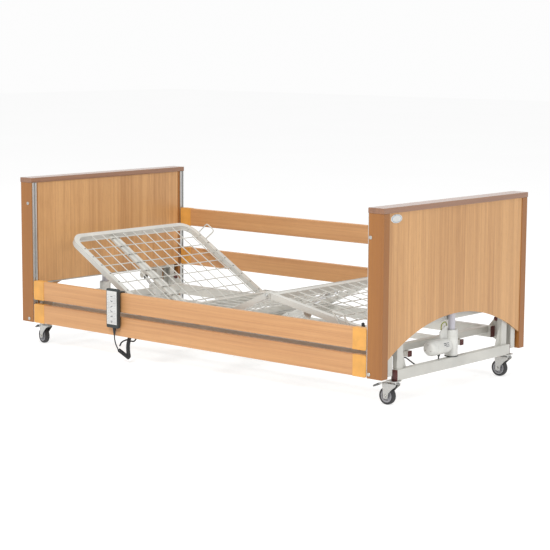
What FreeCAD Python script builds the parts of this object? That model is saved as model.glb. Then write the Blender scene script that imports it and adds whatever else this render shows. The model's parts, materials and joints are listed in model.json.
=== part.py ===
"""Adjustable home-care bed: two height-adjustable ends, a four-section deck, side rails and a handset.

Millimetres. +X points to the foot end, +Y to the patient's left (the far side), +Z up.
The origin is on the floor under the middle of the bed.
The bed is drawn at its lowest height with the backrest and knees raised,
the near rails (-Y) lowered and the far rails (+Y) raised.
"""
import FreeCAD, Part
import math
import os

from FreeCAD import Rotation, Vector

# ---- driving dimensions ----
bed_length = 2200.0
bed_width = 1050.0
bed_height = 820.0
post_width = 77.0
post_depth = 40.0
post_foot = 122.0
cap_height = 23.0
cap_overhang = 2.0
board_gap = 1.0

rail_height = 90.0
rail_thickness = 24.0
rail_middle = 508.0
rail_end_length = 71.0
near_upper_low = 235.0
near_lower_low = 123.0
rail_upper_travel = 282.0
rail_lower_travel = 189.0

frame_side = 430.0
frame_tube_wide = 30.0
frame_tube_deep = 50.0
frame_top = 217.0
frame_half_length = 990.0
inner_tube_side = 190.0
inner_tube_size = 25.0
frame_step = 5.0

deck_half_width = 434.0
deck_tube_wide = 26.0
deck_tube_deep = 25.0
deck_middle = 232.5
deck_corner = 80.0
tube_wall = 2.0
ear_thickness = 4.0
pin_radius = 5.0
pin_clearance = 0.06
wire_pitch_across = 69.0
wire_pitch_along = 67.0
wire_radius = 2.5
wire_first = 50.0

back_hinge = -375.0
back_length = 600.0
back_half_width = 414.0
back_overhang = 42.0
back_angle = 30.5
spine_wide = 50.0
spine_deep = 14.0
seat_gap = 6.0
thigh_hinge = 57.6
thigh_length = 382.0
thigh_angle = 24.6
calf_length = 545.0
calf_angle = -10.5

wheel_radius = 37.5
wheel_width = 24.0
castor_side = 412.0
castor_trail = 30.0
head_near_heading = -13.0
foot_bar_middle = 1080.0
head_bar_middle = -1063.0
foot_castor_middle = 1075.0
head_castor_middle = -1047.0
lift_middle = 1069.0
lift_rod_radius = 10.0
hook_cap_place = 1002.0
hook_cap_radius = 11.0
release_place = 978.0
release_radius = 9.0
handset_x = (-484.0, -408.0)
handset_front = -549.0
handset_back = -526.0
handset_low = 163.0
handset_high = 345.0
key_rows = 6
key_pitch = 22.5
key_half_width = 26.0
key_half_height = 8.0
key_pin_depth = 2.8
back_mount = Vector(-401, 0, 144)
back_actuator_y = -131.0
back_pin_along = 301.5
back_pin_below = 43.0
back_mount_tube = -304.0
knee_mount = Vector(60, 0, 165)
knee_mount_tube = 20.0
knee_actuator_y = 27.0
knee_pin_along = 362.5
knee_pin_below = 32.0
lead_end = Vector(-424, -530, 62)
bar_top = 149.5
bar_bottom = 104.5
bar_half_length = 412.0

# ---- places worked out from them ----
half_length = bed_length / 2
half_width = bed_width / 2
post_outer = half_length - cap_overhang
post_inner = post_outer - post_width
side_outer = half_width - cap_overhang
side_inner = side_outer - post_depth
board_top = bed_height - cap_height
back_pivot = Vector(back_hinge, 0, deck_middle)
thigh_pivot = Vector(thigh_hinge, 0, deck_middle)
knee_flat = thigh_hinge + thigh_length
rail_end_outer = post_inner - 5
rail_end_inner = rail_end_outer - rail_end_length
rail_inner_face = -(rail_middle - rail_thickness / 2)


def lean(along, below, angle):
    """Offset of a point along and below a deck section that points to +X and is raised by an angle."""
    turn = math.radians(angle)
    return Vector(
        along * math.cos(turn) + below * math.sin(turn), 0, along * math.sin(turn) - below * math.cos(turn)
    )


knee_pivot = thigh_pivot + lean(thigh_length, 0, thigh_angle)
knee_pin = thigh_pivot + lean(knee_pin_along, knee_pin_below, thigh_angle)
back_lean = lean(back_pin_along, back_pin_below, back_angle)
back_pin = back_pivot + Vector(-back_lean.x, 0, back_lean.z)
x_axis = Vector(1, 0, 0)
y_axis = Vector(0, 1, 0)
z_axis = Vector(0, 0, 1)

os.makedirs("parts", exist_ok=True)


# ---- helpers ----
def save(name, solids):
    """Write one node's STEP; a list becomes a compound of separate solids."""
    shape = Part.makeCompound(solids) if isinstance(solids, list) else solids
    shape.exportStep(f"parts/{name}.step")


def block(x_span, y_span, z_span):
    """Box between pairs of limits, given in either order."""
    x0, x1 = sorted(x_span)
    y0, y1 = sorted(y_span)
    z0, z1 = sorted(z_span)
    return Part.makeBox(x1 - x0, y1 - y0, z1 - z0, Vector(x0, y0, z0))


def rod(start, end, radius):
    """Round bar between two points."""
    run = end - start
    return Part.makeCylinder(radius, run.Length, start, run)


def round_edges(solid, radius, along=None):
    """Round a solid's edges; with a direction, only the straight edges that run along it."""
    edges = solid.Edges
    if along is not None:
        edges = [
            edge
            for edge in edges
            if edge.Curve.TypeId == "Part::GeomLine"
            and abs(edge.tangentAt(edge.FirstParameter).dot(along)) > 0.999
        ]
    return solid.makeFillet(radius, edges)


def hollow_block(x_span, y_span, z_span, run, wall=tube_wall, corner=3.0):
    """Rectangular tube running along the axis named by run."""
    outer = round_edges(block(x_span, y_span, z_span), corner, run)
    spans = []
    for span, direction in zip((x_span, y_span, z_span), (x_axis, y_axis, z_axis)):
        low, high = sorted(span)
        inset = -1.0 if direction.isEqual(run, 1e-9) else wall
        spans.append((low + inset, high - inset))
    return outer.cut(block(*spans))


def prism(outline, thickness, origin=0.0):
    """Flat plate in the XZ plane, from its outline points, centred on y = origin."""
    wire = Part.makePolygon([Vector(x, origin - thickness / 2, z) for x, z in outline + outline[:1]])
    return Part.Face(wire).extrude(Vector(0, thickness, 0))


def turned(shape, pivot, angle):
    """Copy of a shape turned about an axis along -Y through a pivot, so +X swings up."""
    copy = shape.copy()
    copy.rotate(pivot, Vector(0, -1, 0), angle)
    return copy


def both_sides(make):
    """Near and far copies of a sub-part built for one side, given as -1 or +1."""
    return [make(-1), make(1)]


# ---- end boards ----
def post(end, side):
    """Corner post of one end board, with a rebate for the rail track."""
    body = block(
        (end * post_inner, end * post_outer), (side * side_inner, side * side_outer), (post_foot, board_top)
    )
    body = round_edges(body, 2.0, z_axis)
    rebate = block(
        (end * (post_inner - 1), end * (post_inner + 6)), (side * 494.0, side * 519.5), (0, bed_height)
    )
    return body.cut(rebate)


def rail_track(end, side):
    """Aluminium channel let into a post, whose slot guides the rail ends."""
    body = block(
        (end * (post_inner - 4), end * (post_inner + 6)),
        (side * 494.0, side * 519.5),
        (post_foot, board_top),
    )
    slot = block(
        (end * (post_inner - 5), end * (post_inner + 4)),
        (side * (rail_middle - 5), side * (rail_middle + 5)),
        (0, bed_height),
    )
    return body.cut(slot)


def cap_rail(end):
    """Solid top rail across both posts of one end."""
    body = block(
        (end * (post_inner - cap_overhang), end * half_length),
        (-half_width, half_width),
        (board_top, bed_height),
    )
    return round_edges(body, 3.0, y_axis)


def arched_panel(end):
    """Outer face panel with a circular arch cut from its lower edge."""
    arch_radius = 889.0
    arch_top = 339.0
    spring = side_inner - board_gap
    spring_height = arch_top - arch_radius + math.sqrt(arch_radius**2 - spring**2)
    x0 = end * (post_outer - 11)
    side_edge = Part.makePolygon(
        [
            Vector(x0, spring, spring_height),
            Vector(x0, spring, board_top),
            Vector(x0, -spring, board_top),
            Vector(x0, -spring, spring_height),
        ]
    )
    arch = Part.Arc(
        Vector(x0, -spring, spring_height), Vector(x0, 0, arch_top), Vector(x0, spring, spring_height)
    )
    outline = Part.Wire(side_edge.Edges + [arch.toShape()])
    return Part.Face(outline).extrude(Vector(end * 8, 0, 0))


def inner_panel(end):
    """Flat panel that faces the mattress."""
    spring = side_inner - board_gap
    return block((end * (post_inner + 3), end * (post_inner + 11)), (-spring, spring), (312.0, board_top))


def guide_channel(end, side):
    """Upright steel channel, open towards the middle, that slides over the base's nylon shoes."""
    outer = block((end * 1036, end * 1085), (side * 436, side * 466), (127.0, 790.0))
    hollow = block((end * 1039, end * 1082), (side * 430, side * 463), (0, bed_height))
    return outer.cut(hollow)


def crossbar(end, low):
    """Tube across one end board between its guide channels."""
    return hollow_block((end * 1034, end * 1052), (-435.9, 435.9), (low, low + 40), y_axis)


def lift_bracket(end):
    """Plate on the upper crossbar that the lifting rod pushes against."""
    return block((end * 1052.1, end * 1083), (-22, 22), (730, 748))


def end_frame(end):
    """Loose list of the steel pieces inside one end board."""
    channels = both_sides(lambda side: guide_channel(end, side))
    return channels + [crossbar(end, 304), crossbar(end, 715), lift_bracket(end)]


def post_bolt(x, z, side):
    """Domed bolt head on a post's outer side."""
    head = Part.makeCylinder(8.0, 3.0, Vector(x, side * side_outer, z), Vector(0, side, 0))
    rim = max(head.Edges, key=lambda edge: side * edge.CenterOfMass.y)
    return head.makeFillet(2.4, [rim])


def name_badge():
    """Blank oval plate near the top corner of the foot board's outer face."""
    face = post_outer - 3
    oval = Part.Ellipse(Vector(0, 0, 0), 37.0, 18.0).toShape()
    disc = Part.Face(Part.Wire([oval])).extrude(Vector(0, 0, 2))
    disc.rotate(Vector(0, 0, 0), Vector(1, 1, 1), 120)
    disc.translate(Vector(face + 0.05, -436, 773))
    return disc


# ---- travelling bases ----
def base_frame(end, bar_middle):
    """Base bar with its two uprights, each stiffened by a folded gusset."""
    bar_x = (bar_middle - 15, bar_middle + 15)
    pieces = [hollow_block(bar_x, (-bar_half_length, bar_half_length), (bar_bottom, bar_top), y_axis)]
    for side in (-1, 1):
        upright = hollow_block((end * 1060, end * 1085), (side * 362, side * 402), (bar_top, 752.0), z_axis)
        pieces.append(upright)
        foot = side * 361.9
        gusset = Part.Face(
            Part.makePolygon(
                [
                    Vector(end * 1071, foot, bar_top),
                    Vector(end * 1071, foot - side * 34, bar_top),
                    Vector(end * 1071, foot, 240),
                    Vector(end * 1071, foot, bar_top),
                ]
            )
        ).extrude(Vector(end * 4, 0, 0))
        pieces.append(gusset)
    return pieces


def base_plastics(end, bar_middle):
    """End plugs of the base bar, tops of the uprights and the nylon shoes that run in the channels."""
    pieces = []
    for side in (-1, 1):
        flange = block(
            (bar_middle - 15, bar_middle + 15),
            (side * (bar_half_length + 0.05), side * (bar_half_length + 3)),
            (bar_bottom, bar_top),
        )
        flange = round_edges(flange, 3.0, y_axis)
        tongue = block(
            (bar_middle - 12.5, bar_middle + 12.5),
            (side * (bar_half_length - 18), side * (bar_half_length + 0.1)),
            (bar_bottom + 2.5, bar_top - 2.5),
        )
        pieces.append(flange.fuse(tongue))
        for low in (560, 700):
            neck = block((end * 1060, end * 1081), (side * 402.1, side * 441), (low, low + 40))
            head = block((end * 1040, end * 1081), (side * 440, side * 462), (low, low + 40))
            pieces.append(neck.fuse(head))
    return pieces


def castor_mount(x, side):
    """Castor top plate with the king pin that the fork swivels on."""
    y = side * castor_side
    plate = round_edges(block((x - 25, x + 25), (y - 25, y + 25), (100.5, 104.4)), 6.0, z_axis)
    pin = Part.makeCylinder(5.0, 14.0, Vector(x, y, 87.0))
    head = Part.makeCylinder(8.0, 3.0, Vector(x, y, 84.0))
    return plate.fuse([pin, head])


def castor_fork(x, side):
    """Pressed swivel fork with its ball race and wheel axle, trailing towards -X."""
    y = side * castor_side
    axle_x = x - castor_trail
    race = Part.makeCylinder(22.0, 5.5, Vector(x, y, 94.5))
    rim = max(race.Edges, key=lambda edge: edge.CenterOfMass.z)
    race = race.makeFillet(2.0, [rim])
    top = block((x - 47, x + 23), (y - 17, y + 17), (90.5, 94.6))
    pieces = [top]
    for edge in (-1, 1):
        outline = [
            (x - 47, 94.6),
            (x + 23, 94.6),
            (x + 22, 84.0),
            (x + 6, 72.0),
            (axle_x + 16, 52.0),
            (axle_x + 11, 38.0),
            (axle_x - 11, 38.0),
            (axle_x - 13, 62.0),
            (x - 47, 80.0),
        ]
        leg = prism(outline, 2.5, y + edge * 15.75)
        toe = Part.makeCylinder(11.0, 2.5, Vector(axle_x, y + edge * 15.75 - 1.25, wheel_radius), y_axis)
        pieces.extend([leg, toe])
    axle = Part.makeCylinder(4.0, 40.0, Vector(axle_x, y - 20, wheel_radius), y_axis)
    hinge_pin = Part.makeCylinder(2.5, 38.0, Vector(x - 41, y - 19, 86.0), y_axis)
    body = race.fuse(pieces + [axle, hinge_pin])
    body = body.cut(Part.makeCylinder(5.06, 30.0, Vector(x, y, 80.0)))
    return body.removeSplitter()


def castor_wheel(x, side):
    """Rubber tyre and its plastic hub, bored for the axle."""
    y = side * castor_side
    centre = Vector(x - castor_trail, y - wheel_width / 2, wheel_radius)
    tyre = Part.makeCylinder(wheel_radius, wheel_width, centre, y_axis)
    tyre = round_edges(tyre, 5.0).cut(Part.makeCylinder(27.0, wheel_width, centre, y_axis))
    hub = Part.makeCylinder(26.95, wheel_width, centre, y_axis)
    for face in (0, 1):
        start = centre + Vector(0, face * (wheel_width - 6), 0)
        dish = Part.makeCylinder(22.0, 6.0, start, y_axis).cut(Part.makeCylinder(9.0, 6.0, start, y_axis))
        hub = hub.cut(dish)
    hub = hub.cut(Part.makeCylinder(4.06, wheel_width, centre, y_axis))
    return [tyre, hub]


def swivelled(shape, x, side, heading):
    """Castor part, or list of parts, turned to its heading about the king pin."""
    if isinstance(shape, list):
        return [swivelled(item, x, side, heading) for item in shape]
    copy = shape.copy()
    copy.rotate(Vector(x, side * castor_side, 0), z_axis, heading)
    return copy


def brake_pedal(x, side):
    """Foot lever on the fork's rear pin, with a cam over the tyre."""
    y = side * castor_side
    pivot_x = x - 41.0
    pivot_z = 86.0
    outline = [
        (pivot_x, pivot_z + 4),
        (pivot_x - 8, pivot_z + 4),
        (pivot_x - 30, pivot_z - 1),
        (pivot_x - 55, pivot_z - 13),
        (pivot_x - 52, pivot_z - 18),
        (pivot_x - 28, pivot_z - 7),
        (pivot_x - 8, pivot_z - 4),
        (pivot_x, pivot_z - 4),
    ]
    arm = prism(outline, 20.0, y)
    barrel = Part.makeCylinder(4.4, 24.0, Vector(pivot_x, y - 12, pivot_z), y_axis)
    pad_outline = [
        (pivot_x - 56, pivot_z - 13),
        (pivot_x - 54, pivot_z - 18),
        (pivot_x - 30, pivot_z - 8),
        (pivot_x - 32, pivot_z - 3),
    ]
    pad = prism(pad_outline, 30.0, y)
    body = arm.fuse([barrel, pad])
    return body.cut(Part.makeCylinder(2.56, 60.0, Vector(pivot_x, y - 30, pivot_z), y_axis))


def lift_actuator(end):
    """Upright electric actuator: gearbox housing, motor can lying along -Y and outer tube."""
    x = end * lift_middle
    housing_top = 268.0
    tube_top = 660.0
    motor_x = end * (lift_middle - 3)
    motor_z = 200.0
    can_radius = 31.0
    can_end = -164.0
    can_start = -44.0
    shoulder_start = -26.0
    housing = Part.makeCylinder(28.0, housing_top - 152.0, Vector(x, 0, 152.0))
    housing = round_edges(housing, 4.0)
    foot = block((x - 20, x + 20), (-20, 20), (bar_top + 0.1, 152.0))
    bore = Part.makeCylinder(lift_rod_radius + 0.2, tube_top, Vector(x, 0, 180.0))
    shoulder_place = Vector(motor_x, can_start, motor_z)
    shoulder = Part.makeCone(can_radius, 27.0, shoulder_start - can_start, shoulder_place, y_axis)
    can = Part.makeCylinder(can_radius, can_start - can_end, Vector(motor_x, can_end, motor_z), y_axis)
    rim = min(can.Edges, key=lambda edge: edge.CenterOfMass.y)
    can = can.makeFillet(6.0, [rim])
    tube = Part.makeCylinder(15.0, tube_top - housing_top - 0.1, Vector(x, 0, housing_top + 0.1)).cut(bore)
    body = housing.fuse([foot, shoulder, can]).cut(bore)
    return [body, tube]


def lift_rod(end):
    """Lifting rod that rises out of the actuator tube, with its head under the bracket."""
    x = end * lift_middle
    stem_low = 190.0
    head_low = 710.0
    stem = Part.makeCylinder(lift_rod_radius, head_low + 10 - stem_low, Vector(x, 0, stem_low))
    head = Part.makeCylinder(14.0, 19.9, Vector(x, 0, head_low))
    return stem.fuse(head)


# ---- lower frame under the deck ----
def lower_frame():
    """Side tubes, inner tubes, cross tubes, actuator mounts and the hook plates at the four corners."""
    pieces = []
    length = (-frame_half_length, frame_half_length)
    low = frame_top - frame_tube_deep
    inner_low = low - frame_step
    inner_top = inner_low + inner_tube_size
    for side in (-1, 1):
        span = (side * frame_side - frame_tube_wide / 2, side * frame_side + frame_tube_wide / 2)
        pieces.append(hollow_block(length, span, (low, frame_top), x_axis))
        span = (side * inner_tube_side - inner_tube_size / 2, side * inner_tube_side + inner_tube_size / 2)
        pieces.append(hollow_block(length, span, (inner_low, inner_top), x_axis))
    reach = frame_side - frame_tube_wide / 2 - 0.05
    for x in (-970.0, -315.0, knee_mount_tube, 945.0):
        pieces.append(hollow_block((x, x + 30), (-reach, reach), (inner_top + 0.05, frame_top), y_axis))
    reach = inner_tube_side - inner_tube_size / 2 - 0.05
    for x in (back_mount_tube, -5.0):
        pieces.append(hollow_block((x, x + 25), (-reach, reach), (inner_low, inner_top), y_axis))
    for y in (-62.0, 50.0):
        pieces.append(block((-278.9, -5.1), (y, y + 12), (inner_low, inner_low + 3)))
    pieces.append(mount_ears(back_mount, back_mount_tube, back_actuator_y))
    pieces.append(mount_ears(knee_mount, knee_mount_tube, knee_actuator_y))
    for end in (-1, 1):
        for side in (-1, 1):
            pieces.append(hook_plate(end, side))
    return pieces


def mount_ears(pivot, tube_face, y):
    """Pair of ears on a cross tube, with the pin that carries an actuator's tail eye."""
    tube_low = frame_top - frame_tube_deep - frame_step
    pieces = []
    for edge in (-1, 1):
        middle = y + edge * 12.0
        outline = [
            (tube_face, tube_low + inner_tube_size),
            (pivot.x, pivot.z + 12),
            (pivot.x, pivot.z - 12),
            (tube_face, tube_low),
        ]
        pieces.append(prism(outline, ear_thickness, middle))
        eye_place = Vector(pivot.x, middle - ear_thickness / 2, pivot.z)
        pieces.append(Part.makeCylinder(12.0, ear_thickness, eye_place, y_axis))
    pin = Part.makeCylinder(pin_radius, 36.0, Vector(pivot.x, y - 18, pivot.z), y_axis)
    return pin.fuse(pieces)


def hook_plate(end, side):
    """Hook-on plate with a rounded head that joins the lower frame to an end board."""
    outline = [
        (end * 960, 172),
        (end * 1035.9, 140),
        (end * 1035.9, 262),
        (end * 1005, 269),
        (end * 985, 246),
        (end * 960, 215),
    ]
    middle = frame_side + frame_tube_wide / 2 + ear_thickness / 2 + 0.1
    return prism(outline, ear_thickness, side * middle)


def frame_plugs():
    """Plastic plugs in the ends of the frame tubes and domed caps on the four hook pins."""
    pieces = []
    inner_top = frame_top - frame_tube_deep - frame_step + inner_tube_size
    tubes = (
        (frame_side, frame_tube_wide, frame_top, frame_tube_deep),
        (inner_tube_side, inner_tube_size, inner_top, inner_tube_size),
    )
    for end in (-1, 1):
        for side in (-1, 1):
            for middle, wide, top, deep in tubes:
                y0 = side * middle - wide / 2
                flange = block(
                    (end * (frame_half_length + 0.05), end * (frame_half_length + 3)),
                    (y0, y0 + wide),
                    (top - deep, top),
                )
                flange = round_edges(flange, 3.0, x_axis)
                tongue = block(
                    (end * (frame_half_length - 15), end * (frame_half_length + 0.1)),
                    (y0 + 2.5, y0 + wide - 2.5),
                    (top - deep + 2.5, top - 2.5),
                )
                pieces.append(flange.fuse(tongue))
            start = Vector(end * hook_cap_place, side * (frame_side + frame_tube_wide / 2), 251)
            cap = Part.makeCylinder(hook_cap_radius, 12.0, start, Vector(0, -side, 0))
            rim = min(cap.Edges, key=lambda edge: side * edge.CenterOfMass.y)
            pieces.append(cap.makeFillet(6.0, [rim]))
    return pieces


def control_box():
    """Mains and control box slung under the seat."""
    body = block((-235, -55), (-70, 70), (116, 161.9))
    return round_edges(body, 5.0)


# ---- deck sections, drawn flat and then turned ----
def tube_ring(x0, x1, soft_end, half_width=deck_half_width):
    """Closed frame of hollow tube between x0 and x1, with large corners at the soft end only."""

    def outline(inset, corner_inset, z0, z1):
        low, high = sorted((x0, x1))
        body = block((low + inset, high - inset), (-half_width + inset, half_width - inset), (z0, z1))
        for edge_x in (low, high):
            big = soft_end is not None and abs(edge_x - soft_end) < 1e-6
            radius = max((deck_corner if big else 4.0) - corner_inset, 1.5)
            edges = [
                edge
                for edge in body.Edges
                if abs(edge.tangentAt(edge.FirstParameter).z) > 0.999
                and abs(edge.CenterOfMass.x - edge_x) < inset + 1
            ]
            body = body.makeFillet(radius, edges)
        return body

    z0 = deck_middle - deck_tube_deep / 2
    z1 = deck_middle + deck_tube_deep / 2
    ring = outline(0, 0, z0, z1).cut(outline(deck_tube_wide, deck_tube_wide, z0 - 1, z1 + 1))
    core = outline(tube_wall, tube_wall, z0 + tube_wall, z1 - tube_wall)
    core = core.cut(outline(deck_tube_wide - tube_wall, deck_tube_wide - tube_wall, z0, z1))
    return ring.cut(core)


def wire_mesh(x0, x1, soft_end, half_width=deck_half_width):
    """Welded grid of round wires inside a tube ring; the outer wires stop short of a soft end's corners."""
    low, high = sorted((x0, x1))
    low += deck_tube_wide + 0.05
    high -= deck_tube_wide + 0.05
    inner_half = half_width - deck_tube_wide
    inner_corner = deck_corner - deck_tube_wide
    towards = 1 if soft_end is None or abs(soft_end - x1) > 1e-6 else -1
    start = x0 if towards > 0 else x1
    along_z = deck_middle + 8.5
    across_z = deck_middle + 4.5
    outermost = 5
    wires = []
    for step in range(-outermost, outermost + 1):
        y = step * wire_pitch_across
        ends = [low, high]
        if soft_end is not None and abs(step) == outermost:
            ends[0 if towards > 0 else 1] = start + towards * (wire_first + wire_pitch_along - wire_radius)
        wires.append(rod(Vector(ends[0], y, along_z), Vector(ends[1], y, along_z), wire_radius))
    place = start + towards * wire_first
    while low + 6 < place < high - 6:
        reach = inner_half
        depth = abs(place - start) - deck_tube_wide
        if soft_end is not None and depth < inner_corner:
            reach = inner_half - inner_corner + math.sqrt(inner_corner**2 - (inner_corner - depth) ** 2)
        reach -= 0.05
        wires.append(rod(Vector(place, -reach, across_z), Vector(place, reach, across_z), wire_radius))
        place += towards * wire_pitch_along
    return wires[0].fuse(wires[1:])


def hinge_knuckle(pivot_x, towards, side):
    """Bored knuckle that joins a section's side tube to its hinge pin."""
    span = (side * (deck_half_width - deck_tube_wide), side * deck_half_width)
    half_deep = deck_tube_deep / 2
    height = (deck_middle - half_deep, deck_middle + half_deep)
    neck = block((pivot_x, pivot_x + towards * 16.95), span, height)
    start = Vector(pivot_x, min(span), deck_middle)
    eye = Part.makeCylinder(half_deep, deck_tube_wide, start, y_axis)
    bore = Part.makeCylinder(pin_radius + pin_clearance, deck_tube_wide, start, y_axis)
    return eye.fuse(neck).cut(bore)


def hinge_ear(pivot_x, towards, side, reach=70.0, pin_length=30.0):
    """Ear and pin outside the seat frame that carry the next section's knuckle."""
    face = deck_half_width + 0.1
    half_height = 12.0
    outline = [
        (pivot_x, deck_middle + half_height),
        (pivot_x + towards * reach, deck_middle + half_height),
        (pivot_x + towards * reach, deck_middle - half_height),
        (pivot_x, deck_middle - half_height),
    ]
    outward = Vector(0, side, 0)
    plate = prism(outline, ear_thickness, side * (face + ear_thickness / 2))
    boss = Part.makeCylinder(half_height, ear_thickness, Vector(pivot_x, side * face, deck_middle), outward)
    pin_end = Vector(pivot_x, side * (face + ear_thickness - pin_length), deck_middle)
    pin = Part.makeCylinder(pin_radius, pin_length, pin_end, outward)
    return plate.fuse([boss, pin])


def seat_section():
    """Fixed seat frame with its mesh and the hinge ears at both ends."""
    x0 = back_hinge + back_overhang + seat_gap
    x1 = thigh_hinge - 20
    pieces = [tube_ring(x0, x1, None), wire_mesh(x0, x1, None)]
    for side in (-1, 1):
        pin_length = deck_half_width - back_half_width + deck_tube_wide + ear_thickness
        pieces.append(hinge_ear(back_hinge, 1, side, 83.0, pin_length))
        pieces.append(hinge_ear(thigh_hinge, -1, side))
        for x in (-300.0, -20.0):
            y0 = side * frame_side - frame_tube_wide / 2
            pieces.append(block((x, x + 30), (y0, y0 + 19), (frame_top + 0.05, deck_middle - 12.55)))
    return pieces


def back_section():
    """Backrest frame that overhangs its hinge, with mesh, spine tube, clevis plates and hinge bosses."""
    x0 = back_hinge - back_length
    x1 = back_hinge + back_overhang
    ring = tube_ring(x0, x1, x0, back_half_width)
    bosses = []
    for side in (-1, 1):
        outward = Vector(0, side, 0)
        inner_face = Vector(back_hinge, side * (back_half_width - deck_tube_wide - 1), deck_middle)
        bore = Part.makeCylinder(pin_radius + pin_clearance, 2 * deck_tube_wide, inner_face, outward)
        ring = ring.cut(bore)
        outer_face = Vector(back_hinge, side * (back_half_width + 0.05), deck_middle)
        boss = Part.makeCylinder(11.0, deck_half_width - back_half_width - 0.1, outer_face, outward)
        bosses.append(boss.cut(bore))
    pieces = [ring, wire_mesh(x0, x1, x0, back_half_width)] + bosses
    spine_y = (back_actuator_y - spine_wide / 2, back_actuator_y + spine_wide / 2)
    spine_low = deck_middle - spine_deep - 0.5
    spine_x = (x0 + deck_tube_wide + 0.05, x1 - deck_tube_wide - 0.05)
    pieces.append(hollow_block(spine_x, spine_y, (spine_low, deck_middle - 0.5), x_axis))
    x = back_hinge - back_pin_along
    z = deck_middle - back_pin_below
    toe_radius = 13.0
    outline = [
        (x - 18, spine_low - 0.05),
        (x + 18, spine_low - 0.05),
        (x + toe_radius, z),
        (x - toe_radius, z),
    ]
    for edge in (-1, 1):
        middle = back_actuator_y + edge * 13
        plate = prism(outline, ear_thickness, middle)
        toe = Part.makeCylinder(toe_radius, ear_thickness, Vector(x, middle - ear_thickness / 2, z), y_axis)
        stud_place = Vector(x, middle + edge * ear_thickness / 2, z)
        stud = Part.makeCylinder(6.0, 4.0, stud_place, Vector(0, edge, 0))
        pieces.append(plate.fuse([toe, stud]))
    return [turned(piece, back_pivot, -back_angle) for piece in pieces]


def thigh_section():
    """Thigh frame, mesh, hinge knuckles, knee ears and the plates and pin for the knee actuator."""
    x0 = thigh_hinge + 17
    x1 = knee_flat - 20
    pieces = [tube_ring(x0, x1, None), wire_mesh(x0, x1, None)]
    for side in (-1, 1):
        pieces.append(hinge_knuckle(thigh_hinge, 1, side))
        pieces.append(hinge_ear(knee_flat, -1, side))
    x = thigh_hinge + knee_pin_along
    z = deck_middle - knee_pin_below
    top = deck_middle - deck_tube_deep / 2 - 0.05
    pin = Part.makeCylinder(5.0, 36.0, Vector(x, knee_actuator_y - 18, z), y_axis)
    plates = []
    for edge in (-1, 1):
        middle = knee_actuator_y + edge * 13
        plates.append(prism([(x - 22, top), (x, top), (x + 12, z), (x - 12, z)], 4.0, middle))
        plates.append(Part.makeCylinder(12.0, 4.0, Vector(x, middle - 2, z), y_axis))
    pieces.append(pin.fuse(plates))
    return [turned(piece, thigh_pivot, thigh_angle) for piece in pieces]


def placed_calf(pieces):
    """Calf pieces drawn flat, turned to the calf's angle and moved onto the raised knee."""
    flat_pivot = Vector(knee_flat, 0, deck_middle)
    moved = [turned(piece, flat_pivot, calf_angle) for piece in pieces]
    for piece in moved:
        piece.translate(knee_pivot - flat_pivot)
    return moved


def calf_section():
    """Calf frame, mesh, knee knuckles and the two stay brackets under it."""
    x0 = knee_flat + 17
    x1 = knee_flat + calf_length
    pieces = [tube_ring(x0, x1, x1), wire_mesh(x0, x1, x1)]
    inner = deck_half_width - deck_tube_wide - 0.05
    for side in (-1, 1):
        pieces.append(hinge_knuckle(knee_flat, 1, side))
        outline = [
            (knee_flat + 170, deck_middle + 1),
            (knee_flat + 240, deck_middle + 1),
            (knee_flat + 228, deck_middle - 42),
            (knee_flat + 204, deck_middle - 42),
        ]
        pieces.append(prism(outline, 4.0, side * (inner - 2)))
    return placed_calf(pieces)


def wire_loop(feet, heads, y, radius):
    """U-shaped wire loop standing on a side tube: two feet and two leaning heads, as (x, z)."""
    points = [feet[0], heads[0], heads[1], feet[1]]
    corners = [Vector(x, y, z) for x, z in points]
    legs = [rod(start, end, radius) for start, end in zip(corners, corners[1:])]
    balls = [Part.makeSphere(radius, corner) for corner in corners[1:3]]
    return legs[0].fuse(legs[1:] + balls)


def back_retainer():
    """Wire loop on the far side of the backrest that keeps the mattress in place."""
    x = back_hinge
    z = deck_middle
    feet = [(x - 518, z - 8), (x - 461, z - 8)]
    heads = [(x - 487, z + 78), (x - 426, z + 78)]
    loop = wire_loop(feet, heads, back_half_width + 4.1, 4.0)
    return turned(loop, back_pivot, -back_angle)


def calf_retainers():
    """Leaning wire loops on both sides of the calf section."""
    x = knee_flat
    z = deck_middle
    loops = []
    for side in (-1, 1):
        loops.append(
            wire_loop(
                [(x + 412, z - 8), (x + 469, z - 8)],
                [(x + 368, z + 36), (x + 428, z + 36)],
                side * (deck_half_width + 4.1),
                4.0,
            )
        )
    return placed_calf(loops)


# ---- deck actuators ----
def deck_actuator(pivot, tip, y, motor_side):
    """Body and rod of a push actuator lying between its mount and its pin, in that order."""
    reach = tip - pivot
    body = block((22, 105), (-24, 24), (-24, 24))
    body = round_edges(body, 6.0, x_axis)
    tail = Part.makeCylinder(12.0, 18.0, Vector(0, -9, 0), y_axis)
    neck = block((0, 22.5), (-9, 9), (-9, 9))
    motor = Part.makeCylinder(21.0, 128.0, Vector(24, motor_side * 44, 0), x_axis)
    body = body.fuse([tail, neck, motor])
    body = body.cut(Part.makeCylinder(5.06, 18.0, Vector(0, -9, 0), y_axis))
    bore = Part.makeCylinder(8.1, 250.0, Vector(60, 0, 0), x_axis)
    tube = Part.makeCylinder(17.0, 155.0, Vector(105.05, 0, 0), x_axis).cut(bore)
    body = body.cut(bore)
    stem = Part.makeCylinder(8.0, reach.Length - 135, Vector(130, 0, 0), x_axis)
    eye = Part.makeCylinder(11.0, 18.0, Vector(reach.Length, -9, 0), y_axis)
    ram = stem.fuse(eye).cut(Part.makeCylinder(7.9, 18.0, Vector(reach.Length, -9, 0), y_axis))
    turn = Rotation(x_axis, reach)
    placement = FreeCAD.Placement(Vector(pivot.x, y, pivot.z), turn)
    moved = []
    for solid in (body, tube, ram):
        copy = solid.copy()
        copy.Placement = placement
        moved.append(copy)
    return moved[:2], moved[2]


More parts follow.
